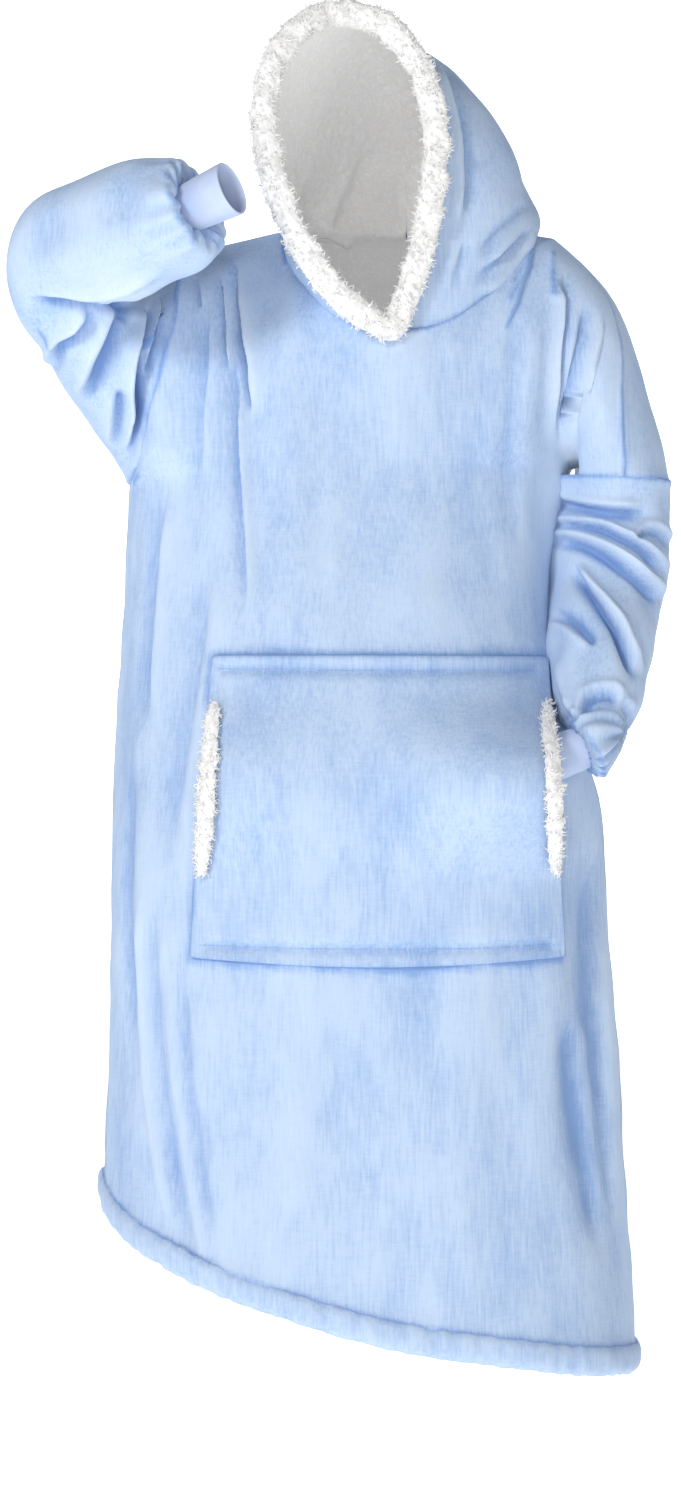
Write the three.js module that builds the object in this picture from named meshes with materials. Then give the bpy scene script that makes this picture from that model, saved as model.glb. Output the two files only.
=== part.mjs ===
import * as THREE from "three";

// A long blanket hoodie as it is worn: one arm raised to the hood, the other hand at the pocket.
// Millimetres. +X is the wearer's left, +Y the wearer's back, +Z up.
// The origin is the base of the neck, between the shoulders, where the wearer carries it.

const plush = 3; // wall of the plush cloth, with its pile
const hoodPlush = 2; // the hood's outer cloth alone, because its lining is built too
const liningPile = 4; // the white pile lining of the hood
const cuffKnit = 3;
const seamGap = 0.3; // between two pieces that are sewn together
const rimInset = 0.6 * seamGap; // how far each piece stops short of its seam
const sewnStep = 1.2; // from the front panel to a patch sewn on it
const half = 180;
const turn = 360;

const radians = (degrees) => (degrees * Math.PI) / half;
const sine = (degrees) => Math.sin(radians(degrees));
const cosine = (degrees) => Math.cos(radians(degrees));
const mix = (a, b, share) => a + (b - a) * share;
const clamp01 = (value) => Math.min(1, Math.max(0, value));
const ease = (value) => clamp01(value) ** 2 * (3 - 2 * clamp01(value));
const vector = (x, y, z) => new THREE.Vector3(x, y, z);
const between = (a, b, share) => a.clone().lerp(b, share);
const steps = (count) => Array.from({ length: count + 1 }, (_, i) => i / count);

// The value of one column of a table at x, on a smooth curve through its rows.
function tableValue(rows, at, key, x) {
  const last = rows.length - 1;
  let i = 0;
  while (i < last - 1 && x > rows[i + 1][at]) i++;
  const slope = (j) => {
    const low = rows[Math.max(j - 1, 0)];
    const high = rows[Math.min(j + 1, last)];
    return (high[key] - low[key]) / (high[at] - low[at]);
  };
  const span = rows[i + 1][at] - rows[i][at];
  const s = clamp01((x - rows[i][at]) / span);
  return hermite(rows[i][key], slope(i) * span, rows[i + 1][key], slope(i + 1) * span, s);
}

function hermite(start, startSlope, end, endSlope, s) {
  const s2 = s * s;
  const s3 = s2 * s;
  return (
    start * (2 * s3 - 3 * s2 + 1) +
    startSlope * (s3 - 2 * s2 + s) +
    end * (3 * s2 - 2 * s3) +
    endSlope * (s3 - s2)
  );
}

// A soft trough or ridge in two surface coordinates: it fades along its length and across its width.
function foldLift(folds, a, b) {
  return folds.reduce((sum, fold) => {
    const along = vector(fold.a1 - fold.a0, fold.b1 - fold.b0, 0);
    const reach = along.length();
    const here = vector(a - fold.a0, b - fold.b0, 0);
    const share = here.dot(along) / (reach * reach);
    const across = Math.abs(here.x * along.y - here.y * along.x) / reach;
    const beyond = Math.max(0, -share, share - 1) * reach;
    const fade = Math.exp(-((across / fold.width) ** 2) - (beyond / fold.width) ** 2);
    return sum + fold.lift * fade;
  }, 0);
}

// Body

const torsoSections = [
  { z: -1260, left: -324, right: 284, front: 220, back: 210, square: 2.6 },
  { z: -955, left: -317, right: 268, front: 212, back: 198, square: 2.6 },
  { z: -727, left: -311, right: 256, front: 203, back: 182, square: 2.6 },
  { z: -613, left: -308, right: 250, front: 197, back: 174, square: 2.6 },
  { z: -540, left: -303, right: 222, front: 190, back: 166, square: 2.55 },
  { z: -470, left: -299, right: 197, front: 179, back: 158, square: 2.45 },
  { z: -385, left: -295, right: 186, front: 164, back: 150, square: 2.35 },
  { z: -300, left: -293, right: 187, front: 147, back: 141, square: 2.3 },
  { z: -236, left: -291.5, right: 191.5, front: 137, back: 134, square: 2.25 },
];
// Height of the hem's lower edge, by the angle round the body from the wearer's left side.
const hemHeights = [
  { angle: 0, z: -1258 },
  { angle: 29, z: -1251 },
  { angle: 49, z: -1237 },
  { angle: 67, z: -1225 },
  { angle: 87, z: -1210 },
  { angle: 110, z: -1184 },
  { angle: 128, z: -1157 },
  { angle: 148, z: -1118 },
  { angle: 157, z: -1101 },
  { angle: 167, z: -1078 },
  { angle: 180, z: -1058 },
];
const hemBandHeight = 27;
const hemBandThickness = 11;

// The shoulder end of the raised arm: an upright oval seam from the armpit to the shoulder.
const raisedArmhole = {
  centre: vector(-263.75, 0, -124.2),
  down: vector(-28, 0, -128.8),
  front: vector(15, -100, 5),
};
// The hanging arm's upper part turns about the armpit, like the sectors of a fan.
const hangingPivot = vector(191.5, 0, -246);
const armpitRadius = 10;
const hangingFan = [
  { turn: 0, reach: 271, depth: 100, seam: 180 },
  { turn: 13, reach: 237, depth: 99, seam: 160 },
  { turn: 25, reach: 198, depth: 97, seam: 136 },
  { turn: 39, reach: 160, depth: 94, seam: 114 },
  { turn: 62, reach: 133, depth: 90, seam: 102 },
  { turn: 92, reach: 135, depth: 86, seam: 92 },
];
const fanEnd = 92;

const neck = {
  middleX: 26.75,
  halfWidth: 142.75,
  skewX: -19,
  y: -10,
  front: 112,
  back: 105,
  z: 29.75,
  slopeZ: -2.25,
  frontDrop: 121,
  dropSquare: 1.4,
  backRise: 6,
};

function neckPoint(angle) {
  const across = cosine(angle);
  const along = sine(angle);
  const isFront = along < 0;
  const square = neck.dropSquare + 0.12 * across;
  return vector(
    neck.middleX + neck.halfWidth * across + (isFront ? neck.skewX * along * along : 0),
    neck.y + along * (isFront ? neck.front : neck.back),
    neck.z + neck.slopeZ * across + (isFront ? -neck.frontDrop * (-along) ** square : neck.backRise * along),
  );
}

function torsoSize(z) {
  const size = (key) => tableValue(torsoSections, "z", key, z);
  const left = size("left");
  const right = size("right");
  return {
    middle: (left + right) / 2,
    half: (right - left) / 2,
    front: size("front"),
    back: size("back"),
    square: size("square"),
  };
}

// Angle 0 is the wearer's left side, 90 the front, 180 the right side and 270 the back.
function torsoPoint(angle, z) {
  const size = torsoSize(z);
  const depth = sine(angle) >= 0 ? size.front : size.back;
  const radius =
    (Math.abs(cosine(angle) / size.half) ** size.square +
      Math.abs(sine(angle) / depth) ** size.square) **
    (-1 / size.square);
  return vector(size.middle + radius * cosine(angle), -radius * sine(angle), z);
}

function torsoFrontY(x, z) {
  const size = torsoSize(z);
  const share = Math.min(1, Math.abs((x - size.middle) / size.half));
  return -size.front * (1 - share ** size.square) ** (1 / size.square);
}

const hemHeight = (angle) =>
  tableValue(hemHeights, "angle", "z", angle > half ? turn - angle : angle);

function fanPoint(turned, angle) {
  const reach = tableValue(hangingFan, "turn", "reach", turned);
  const depth = tableValue(hangingFan, "turn", "depth", turned);
  const radius = (armpitRadius + reach) / 2 - ((reach - armpitRadius) / 2) * cosine(angle);
  return vector(
    hangingPivot.x + radius * sine(turned),
    hangingPivot.y - depth * sine(angle),
    hangingPivot.z + radius * cosine(turned),
  );
}

const seamAngle = (turned) => tableValue(hangingFan, "turn", "seam", turned);

function armholePoint(angle) {
  return raisedArmhole.centre
    .clone()
    .addScaledVector(raisedArmhole.down, cosine(angle))
    .addScaledVector(raisedArmhole.front, sine(angle));
}

// The folds that hang from the shoulders, in x and z, on the front and on the back.
const frontFolds = [
  { a0: 207, b0: -20, a1: 187, b1: -215, width: 20, lift: -15 },
  { a0: 236, b0: -70, a1: 208, b1: -175, width: 16, lift: -8 },
  { a0: -158, b0: -20, a1: -148, b1: -330, width: 19, lift: -13 },
  { a0: -190, b0: -20, a1: -181, b1: -330, width: 17, lift: 8 },
  { a0: -216, b0: -40, a1: -212, b1: -400, width: 18, lift: -9 },
  { a0: -112, b0: -75, a1: -108, b1: -420, width: 24, lift: 8 },
  { a0: -252, b0: -250, a1: -235, b1: -620, width: 24, lift: -9 },
  { a0: -268, b0: -860, a1: -212, b1: -1120, width: 22, lift: -10 },
  { a0: -226, b0: -880, a1: -160, b1: -1150, width: 19, lift: 8 },
  { a0: 236, b0: -690, a1: 232, b1: -1130, width: 24, lift: -10 },
  { a0: 60, b0: -860, a1: 70, b1: -1150, width: 40, lift: 5 },
  { a0: 150, b0: -870, a1: 165, b1: -1160, width: 34, lift: -5 },
];
const backFolds = [
  { a0: 205, b0: -60, a1: 187, b1: -215, width: 22, lift: -8 },
  { a0: -190, b0: -30, a1: -150, b1: -420, width: 24, lift: -10 },
  { a0: -110, b0: -40, a1: -95, b1: -560, width: 26, lift: 7 },
  { a0: 120, b0: -60, a1: 110, b1: -640, width: 28, lift: -9 },
  { a0: 30, b0: -420, a1: 10, b1: -1080, width: 30, lift: -9 },
  { a0: -215, b0: -520, a1: -190, b1: -1090, width: 28, lift: -11 },
  { a0: 190, b0: -600, a1: 205, b1: -1180, width: 26, lift: -11 },
  { a0: -90, b0: -700, a1: -85, b1: -1130, width: 26, lift: 8 },
];

// Columns of each panel, in three stretches: a shoulder, the neckline and the other shoulder.
const frontStretches = [
  { count: 7, from: 180, to: 122 },
  { count: 12, from: 122, to: 35 },
  { count: 5, from: 35, to: 0 },
];
const backStretches = [
  { count: 5, from: 360, to: 325 },
  { count: 12, from: 325, to: 238 },
  { count: 7, from: 238, to: 180 },
];
const neckStep = 15; // degrees of the neckline between two columns
const torsoRows = 13;
const upperRows = 12;
const fanColumns = 7;
const chestSquare = 1.75; // 2 is a true oval, less is flatter
const armholeFade = 128; // depth of the chest at which it no longer follows an armhole's bulge

function panelColumns(stretches) {
  return stretches.flatMap(({ count, from, to }, part) =>
    steps(count)
      .slice(part ? 1 : 0)
      .map((share) => ({ part, share, angle: mix(from, to, share) })),
  );
}

// The upper end of a column: on the shoulder seam or on the neckline.
function topEnd(column, isFront) {
  const raisedTop = armholePoint(half);
  const hangingTop = fanPoint(0, half);
  const [first, last] = isFront ? [raisedTop, hangingTop] : [hangingTop, raisedTop];
  const [neckFirst, neckLast] = isFront ? [half, turn] : [0, half];
  if (column.part === 1) return neckPoint(mix(neckFirst, neckLast, column.share));
  const [from, to] =
    column.part === 0 ? [first, neckPoint(neckFirst)] : [neckPoint(neckLast), last];
  return between(from, to, column.share);
}

// A column above the armpits: a quarter of an oval that goes on from the torso's own slope.
function chestPoint({ point, slope, top }, t) {
  const rise = (1 - cosine(half * t)) / 2;
  return vector(
    mix(point.x, top.x, ease(rise)),
    mix(point.y, top.y, 1 - (1 - rise ** chestSquare) ** (1 / chestSquare)),
    mix(point.z, top.z, rise),
  ).addScaledVector(slope, (top.z - point.z) * rise * (1 - rise) ** 2);
}

// One panel of the body, with the part that runs out over the hanging arm.
function bodyPanel(sheet, isFront) {
  const stretches = isFront ? frontStretches : backStretches;
  const columns = panelColumns(stretches);
  const last = columns.length - 1;
  const folds = isFront ? frontFolds : backFolds;
  const lift = (point) => foldLift(folds, point.x, point.z);
  const armpitZ = (x) => mix(-253, -236, (x + 291.5) / 483);
  const ends = columns.map((column) => {
    const z = armpitZ(torsoPoint(column.angle, hangingPivot.z).x);
    const point = torsoPoint(column.angle, z);
    const slope = point.clone().sub(torsoPoint(column.angle, z - 20)).divideScalar(20).setZ(0);
    return { z, point, slope, top: topEnd(column, isFront) };
  });
  const raisedEdge = (t) => armholePoint((isFront ? 1 : -1) * half * t);
  const hangingAngle = (turned, t) =>
    isFront ? t * seamAngle(turned) : turn - t * (turn - seamAngle(turned));
  const hangingEdge = (t) => fanPoint(0, hangingAngle(0, t));
  const [startEdge, endEdge] = isFront ? [raisedEdge, hangingEdge] : [hangingEdge, raisedEdge];
  const closeness = ends.map((end) => clamp01(1 - Math.abs(end.point.y) / armholeFade));

  const rows = [];
  for (const share of steps(torsoRows).slice(0, -1)) {
    rows.push(
      sheet.row(
        columns.map((column, i) => {
          const bottom = hemHeight(column.angle) + hemBandHeight + seamGap;
          return torsoPoint(column.angle, mix(bottom, ends[i].z, share));
        }),
        lift,
      ),
    );
  }
  for (const t of steps(upperRows)) {
    const startMiss = startEdge(t).sub(chestPoint(ends[0], t));
    const endMiss = endEdge(t).sub(chestPoint(ends[last], t));
    const seamFade = Math.min(1, (1 - t) * 4);
    rows.push(
      sheet.row(
        ends.map((end, i) =>
          chestPoint(end, t)
            .addScaledVector(i < last / 2 ? startMiss : endMiss, closeness[i]),
        ),
        (point) => lift(point) * seamFade,
      ),
    );
  }
  sheet.grid(rows);
  const bottomRow = rows[0];

  const upper = rows.slice(torsoRows);
  const fan = upper.map((row, k) => {
    const t = k / upperRows;
    const joined = isFront ? row[last] : row[0];
    const made = sheet.row(
      steps(fanColumns)
        .slice(1)
        .map((share) => fanPoint(share * fanEnd, hangingAngle(share * fanEnd, t))),
      (point) => lift(point) * Math.min(1, (1 - t) * 4),
    );
    return isFront ? [joined, ...made] : [...made.reverse(), joined];
  });
  sheet.grid(fan);
  const raisedSide = upper.map((row) => (isFront ? row[0] : row[last]));
  const hangingSide = fan.map((row) => (isFront ? row[fanColumns] : row[0]));
  return { bottomRow, raisedSide, hangingSide };
}

// Points and triangles of all the sewn surfaces. Points in one place are one point, so that
// pieces that meet at a seam get their thickness in the same direction there.
class SewnSheet {
  constructor() {
    this.points = [];
    this.lifts = [];
    this.places = new Map();
    this.pieces = new Map();
  }

  piece(name) {
    this.current = [];
    this.pieces.set(name, this.current);
  }

  add(point, lift = 0) {
    const place = point.toArray().map((value) => Math.round(value * 50)).join();
    if (!this.places.has(place)) {
      this.places.set(place, this.points.length);
      this.points.push(point.clone());
      this.lifts.push(lift);
    }
    return this.places.get(place);
  }

  row(points, lift = () => 0) {
    return points.map((point, i) => this.add(point, lift(point, i)));
  }

  // Triangles between rows of equal length. Seen from outside, rows run left to right, upwards.
  grid(rows, isClosed = false) {
    for (let k = 0; k + 1 < rows.length; k++) {
      const count = rows[k].length;
      for (let i = 0; i + (isClosed ? 0 : 1) < count; i++) {
        const next = (i + 1) % count;
        this.quad(rows[k][i], rows[k][next], rows[k + 1][next], rows[k + 1][i]);
      }
    }
  }

  // A closed row joined to one with twice as many points.
  doubling(coarse, fine) {
    coarse.forEach((point, i) => {
      const next = coarse[(i + 1) % coarse.length];
      const [a, middle, b] = [fine[2 * i], fine[2 * i + 1], fine[(2 * i + 2) % fine.length]];
      this.triangle(point, next, middle);
      this.triangle(point, middle, a);
      this.triangle(next, b, middle);
    });
  }

  quad(a, b, c, d) {
    this.triangle(a, b, c);
    this.triangle(a, c, d);
  }

  flip() {
    this.current.forEach((face) => face.reverse());
  }

  triangle(a, b, c) {
    if (a !== b && b !== c && a !== c) this.current.push([a, b, c]);
  }

  normals() {
    const normals = this.points.map(() => vector(0, 0, 0));
    for (const faces of this.pieces.values()) {
      for (const [a, b, c] of faces) {
        const normal = this.points[b]
          .clone()
          .sub(this.points[a])
          .cross(this.points[c].clone().sub(this.points[a]));
        [a, b, c].forEach((i) => normals[i].add(normal));
      }
    }
    return normals.map((normal) => normal.normalize());
  }

  // Moves every point out or in by its fold.
  raiseFolds() {
    this.normals().forEach((normal, i) => this.points[i].addScaledVector(normal, this.lifts[i]));
    this.outward = this.normals();
  }

  // The triangles of one piece in space.
  triangles(name) {
    return this.pieces
      .get(name)
      .map((face) => new THREE.Triangle(...face.map((i) => this.points[i])));
  }

  // One piece as a closed wall: from depth below the sheet, to depth plus thickness.
  wall(name, thickness, depth = 0, insetOf = () => rimInset) {
    return wallGeometry(this.pieces.get(name), this, thickness, depth, insetOf);
  }
}

// A closed wall from a surface. Its edges are drawn in, to leave half a seam gap on each side.
function wallGeometry(faces, { points, outward }, thickness, depth, insetOf) {
  const edges = new Map();
  for (const face of faces) {
    face.forEach((a, k) => {
      const b = face[(k + 1) % 3];
      if (edges.has(b + "," + a)) edges.delete(b + "," + a);
      else edges.set(a + "," + b, [a, b]);
    });
  }
  const inwards = new Map([...edges.values()].flat().map((i) => [i, []]));
  for (const face of faces) {
    face.forEach((a, k) => {
      const b = face[(k + 1) % 3];
      if (!edges.has(a + "," + b)) return;
      const along = points[b].clone().sub(points[a]).normalize();
      const inward = points[face[(k + 2) % 3]].clone().sub(points[a]);
      inward.addScaledVector(along, -inward.dot(along)).normalize();
      inwards.get(a).push(inward);
      inwards.get(b).push(inward);
    });
  }
  const drawnIn = (i) => {
    const sum = inwards.get(i).reduce((total, inward) => total.add(inward), vector(0, 0, 0));
    sum.normalize();
    return sum.divideScalar(Math.max(0.5, sum.dot(inwards.get(i)[0])));
  };
  const numbers = new Map();
  const corners = [];
  const numberOf = (i) => {
    if (!numbers.has(i)) {
      numbers.set(i, corners.length / 6);
      const start = points[i].clone();
      if (inwards.has(i)) start.addScaledVector(drawnIn(i), insetOf(i));
      const outer = start.clone().addScaledVector(outward[i], -depth);
      const inner = start.clone().addScaledVector(outward[i], -depth - thickness);
      corners.push(...outer.toArray(), ...inner.toArray());
    }
    return numbers.get(i);
  };
  const triangles = [];
  for (const [a, b, c] of faces) {
    const [p, q, r] = [a, b, c].map((i) => 2 * numberOf(i));
    triangles.push(p, q, r, p + 1, r + 1, q + 1);
  }
  for (const [a, b] of edges.values()) {
    const [p, q] = [a, b].map((i) => 2 * numberOf(i));
    // Both pieces at a seam split its faces along the same diagonal.
    if (a < b) triangles.push(q, p, q + 1, p, p + 1, q + 1);
    else triangles.push(q, p, p + 1, q, p + 1, q + 1);
  }
  return solidGeometry(corners, triangles);
}

function solidGeometry(corners, triangles) {
  const geometry = new THREE.BufferGeometry();
  geometry.setAttribute("position", new THREE.Float32BufferAttribute(corners, 3));
  geometry.setIndex(triangles);
  geometry.computeVertexNormals();
  return geometry;
}

// Sleeves. Each section has its outer and inner edge as seen from the front, and half its depth.

const raisedSections = [
  { at: 0, ox: -291.75, oy: 0, oz: -253, ix: -235.75, iy: 0, iz: 4.6, depth: 100 },
  { at: 1, ox: -326, oy: -22, oz: -202, ix: -268, iy: -26, iz: -33, depth: 88 },
  { at: 2, ox: -367.6, oy: -50, oz: -142, ix: -282, iy: -64, iz: -53, depth: 78 },
  { at: 3, ox: -403, oy: -82, oz: -71, ix: -290, iy: -98, iz: -55, depth: 72 },
  { at: 4, ox: -426.7, oy: -118, oz: -14.5, ix: -295, iy: -130, iz: -50, depth: 68 },
  { at: 5, ox: -404.7, oy: -152, oz: 41.7, ix: -291, iy: -164, iz: -47, depth: 66 },
  { at: 6, ox: -363.2, oy: -182, oz: 66.5, ix: -274.3, iy: -196, iz: -48, depth: 66 },
  { at: 7, ox: -315.8, oy: -206, oz: 81.7, ix: -249, iy: -222, iz: -45, depth: 64 },
  { at: 8, ox: -267.7, oy: -226, oz: 92.9, ix: -210, iy: -242, iz: -34, depth: 60 },
  { at: 9, ox: -235.5, oy: -238, oz: 92, ix: -189, iy: -254, iz: -18, depth: 54 },
];
const raisedFolds = [
  { a0: 1.15, b0: 150, a1: 0.65, b1: 32, width: 15, lift: -11 },
  { a0: 1.8, b0: 145, a1: 1.45, b1: 34, width: 15, lift: 8 },
  { a0: 2.4, b0: 150, a1: 2.25, b1: 58, width: 15, lift: -13 },
  { a0: 3.1, b0: 155, a1: 3.2, b1: 74, width: 14, lift: 8 },
  { a0: 3.8, b0: 160, a1: 4.0, b1: 92, width: 14, lift: -11 },
  { a0: 1.2, b0: 215, a1: 0.8, b1: 330, width: 17, lift: -12 },
  { a0: 2.6, b0: 210, a1: 2.3, b1: 310, width: 17, lift: -12 },
  { a0: 5.2, b0: 60, a1: 7.2, b1: 76, width: 17, lift: -6 },
];
const hangingSections = [
  { at: 1, ox: 331, oy: 12, oz: -305, ix: 191, iy: 5, iz: -303, depth: 86 },
  { at: 2, ox: 323, oy: -12, oz: -380, ix: 190.5, iy: -22, iz: -370, depth: 80 },
  { at: 3, ox: 306, oy: -54, oz: -443, ix: 191.5, iy: -66, iz: -428, depth: 69 },
  { at: 4, ox: 287, oy: -100, oz: -502, ix: 193, iy: -112, iz: -482, depth: 58 },
  { at: 5, ox: 264, oy: -136, oz: -551, ix: 197, iy: -144, iz: -514, depth: 47 },
  { at: 6, ox: 240, oy: -156, oz: -583, ix: 204, iy: -156, iz: -523, depth: 37 },
];
const hangingFolds = [
  { a0: 0.7, b0: 30, a1: 0.95, b1: 130, width: 14, lift: -13 },
  { a0: 1.2, b0: 20, a1: 1.6, b1: 150, width: 13, lift: 8 },
  { a0: 1.7, b0: 30, a1: 2.4, b1: 155, width: 14, lift: -15 },
  { a0: 2.6, b0: 60, a1: 3.5, b1: 150, width: 14, lift: -12 },
  { a0: 3.3, b0: 40, a1: 4.1, b1: 140, width: 15, lift: 8 },
  { a0: 4.2, b0: 60, a1: 4.5, b1: 145, width: 13, lift: -9 },
  { a0: 0.9, b0: 200, a1: 1.5, b1: 310, width: 17, lift: -11 },
  { a0: 2.3, b0: 200, a1: 2.9, b1: 310, width: 17, lift: -11 },
];
const degreesPerFoldUnit = 20; // one section's spacing counts as this many degrees round
const armholeTurn = 2.5; // sections over which a sleeve turns away from its armhole's plane
const cuffTurn = 2; // and those over which it turns to its cuff
const armholeFront = { raised: vector(0.15, -1, 0.05), hanging: vector(0, -1, 0) };
const raisedRings = 15;
const hangingRings = 12;

// The rim of a gathered sleeve end, as shares of the way in to the cuff and steps towards the wrist.
const raisedGathers = {
  waves: 12,
  rows: [
    { share: 0.22, step: 8, wave: 3 },
    { share: 0.55, step: 10, wave: 5 },
    { share: 0.88, step: 4, wave: 2 },
    { share: 1, step: -4, wave: 0 },
  ],
};
const hangingGathers = {
  waves: 8,
  rows: [
    { share: 0.45, step: 3, wave: 1.5 },
    { share: 1, step: -3.5, wave: 0 },
  ],
};

function sectionRing(sections, at, isHanging) {
  const value = (key) => tableValue(sections, "at", key, at);
  const outer = vector(value("ox"), value("oy"), value("oz"));
  const inner = vector(value("ix"), value("iy"), value("iz"));
  const centre = between(outer, inner, 0.5);
  const start = (isHanging ? inner : outer).clone().sub(centre);
  return { centre, start, depth: value("depth") };
}

// A ring of a sleeve: in the armhole's plane at first, across the cuff's axis at the end.
function ringFrame(sections, at, isHanging, cuff) {
  const ring = sectionRing(sections, at, isHanging);
  const step = 0.2;
  const ahead = sectionRing(sections, at + step, isHanging).centre;
  const behind = sectionRing(sections, at - step, isHanging).centre;
  const last = sections[sections.length - 1].at;
  const along = between(
    ahead.sub(behind).normalize(),
    cuff.axis,
    ease((at - last + cuffTurn) / cuffTurn),
  ).normalize();
  const turned = along.clone().cross(ring.start).normalize();
  if (isHanging) turned.negate();
  const first = isHanging ? armholeFront.hanging : armholeFront.raised;
  const front = between(first, turned, ease(at / armholeTurn)).normalize();
  return { ...ring, along, front: front.multiplyScalar(ring.depth) };
}

const ringPoint = (ring, angle) =>
  ring.centre
    .clone()
    .addScaledVector(ring.start, cosine(angle))
    .addScaledVector(ring.front, sine(angle));

// A sleeve from its armhole to the gathers at the cuff. angles gives the armhole's own spacing.
function sleeve(sheet, { firstRow, angles, sections, folds, rings, isHanging, cuff, gathers }) {
  const first = sections[0].at;
  const last = sections[sections.length - 1].at;
  const start = isHanging ? 0 : first;
  const armhole = isHanging
    ? [{ ...hangingRim(), at: 0 }, ...sections]
    : sections;
  const rows = [firstRow];
  const even = angles.map((_, i) => (turn * i) / angles.length);
  const fold = (at, angle) =>
    foldLift(
      folds.map((f) => ({ ...f, a0: f.a0 * degreesPerFoldUnit, a1: f.a1 * degreesPerFoldUnit })),
      at * degreesPerFoldUnit,
      angle,
    ) * ease((at - start) * 2.5);
  for (const share of steps(rings).slice(1)) {
    const at = mix(start, last, share);
    const ring = ringFrame(armhole, at, isHanging, cuff);
    const evenness = ease(share * 2);
    const ringAngles = angles.map((angle, i) => mix(angle, even[i], evenness));
    rows.push(
      sheet.row(
        ringAngles.map((angle) => ringPoint(ring, angle)),
        (_, i) => fold(at, ringAngles[i]),
      ),
    );
  }
  sheet.grid(rows, true);
  const endRing = ringFrame(armhole, last, isHanging, cuff);
  const fineAngles = steps(2 * angles.length).slice(0, -1).map((share) => share * turn);
  const gathered = gathers.rows.map(({ share, step, wave }) =>
    sheet.row(
      fineAngles.map((angle) => {
        const ripple = (cosine(angle * gathers.waves) - 1) / 2;
        const wide = ringPoint(endRing, angle).addScaledVector(endRing.along, step);
        const narrow = cuffPoint(cuff, 0, angle, 2 * seamGap).addScaledVector(cuff.axis, step + 3);
        const radial = endRing.centre.clone().sub(wide).normalize();
        return between(wide, narrow, share)
          .addScaledVector(radial, ripple * wave)
          .addScaledVector(endRing.along, ripple * wave);
      }),
    ),
  );
  sheet.doubling(rows[rows.length - 1], gathered[0]);
  sheet.grid(gathered, true);
  if (isHanging) sheet.flip(); // its rings run the other way round
}

// The lower rim of the fan over the hanging arm, as a sleeve section.
function hangingRim() {
  const inner = fanPoint(fanEnd, 0);
  const outer = fanPoint(fanEnd, half);
  const depth = tableValue(hangingFan, "turn", "depth", fanEnd);
  return {
    ox: outer.x, oy: outer.y, oz: outer.z, ix: inner.x, iy: inner.y, iz: inner.z, depth,
  };
}

// Cuffs: short knitted tubes, wider at the hand.

function makeCuff({ base, end, up, baseHalf, endHalf, depthShare }) {
  const axis = end.clone().sub(base);
  const length = axis.length();
  axis.normalize();
  const start = up.clone().addScaledVector(axis, -up.dot(axis)).normalize();
  const front = axis.clone().cross(start);
  if (front.y > 0) front.negate();
  return { base, axis, length, start, front, baseHalf, endHalf, depthShare };
}

function cuffPoint(cuff, share, angle, extra = 0) {
  const size = mix(cuff.baseHalf, cuff.endHalf, share) + extra;
  return cuff.base
    .clone()
    .addScaledVector(cuff.axis, cuff.length * share)
    .addScaledVector(cuff.start, size * cosine(angle))
    .addScaledVector(cuff.front, (size * cuff.depthShare + extra * (1 - cuff.depthShare)) * sine(angle));
}

const raisedCuff = makeCuff({
  base: vector(-218, -247, 35),
  end: vector(-168.8, -275, 55),
  up: vector(-0.4, 0, 0.9),
  baseHalf: 27,
  endHalf: 31,
  depthShare: 0.86,
});
const hangingCuff = makeCuff({
  base: vector(220, -154, -553),
  end: vector(180, -161, -567),
  up: vector(-0.4, 0, 0.92),
  baseHalf: 24,
  endHalf: 27,
  depthShare: 0.68,
});
const cuffSides = 24;
const cuffRows = 3;

function cuffGeometry(cuff) {
  const sheet = new SewnSheet();
  sheet.piece("cuff");
  const around = steps(cuffSides).slice(0, -1);
  const rows = steps(cuffRows).map((share) =>
    sheet.row(around.map((part) => cuffPoint(cuff, mix(-0.12, 1, share), part * turn))),
  );
  const turnsRight = cuff.axis.clone().cross(cuff.start).dot(cuff.front) > 0;
  sheet.grid(turnsRight ? rows.map((row) => [...row]) : rows.map((row) => [...row].reverse()), true);
  sheet.raiseFolds();
  return sheet.wall("cuff", cuffKnit);
}

// Hood: arches from the face edge back to the nape, with their feet on the neckline.

const hoodArches = [
  { t: 0, x: -43, y: -104, z: 262, left: 180, right: 152, leftPower: 0.5, rightPower: 0.85 },
  { t: 0.18, x: -30, y: -62, z: 262, left: 132, right: 158, leftPower: 0.5, rightPower: 0.7 },
  { t: 0.38, x: -6, y: 2, z: 250, left: 86, right: 136, leftPower: 0.5, rightPower: 0.55 },
  { t: 0.6, x: 18, y: 78, z: 208, left: 60, right: 76, leftPower: 0.6, rightPower: 0.5 },
  { t: 0.8, x: 27, y: 128, z: 132, left: 52, right: 44, leftPower: 0.6, rightPower: 0.6 },
  { t: 1, x: 26.75, y: 95, z: 35.75, left: 22, right: 22, leftPower: 0.8, rightPower: 0.8 },
];
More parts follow.
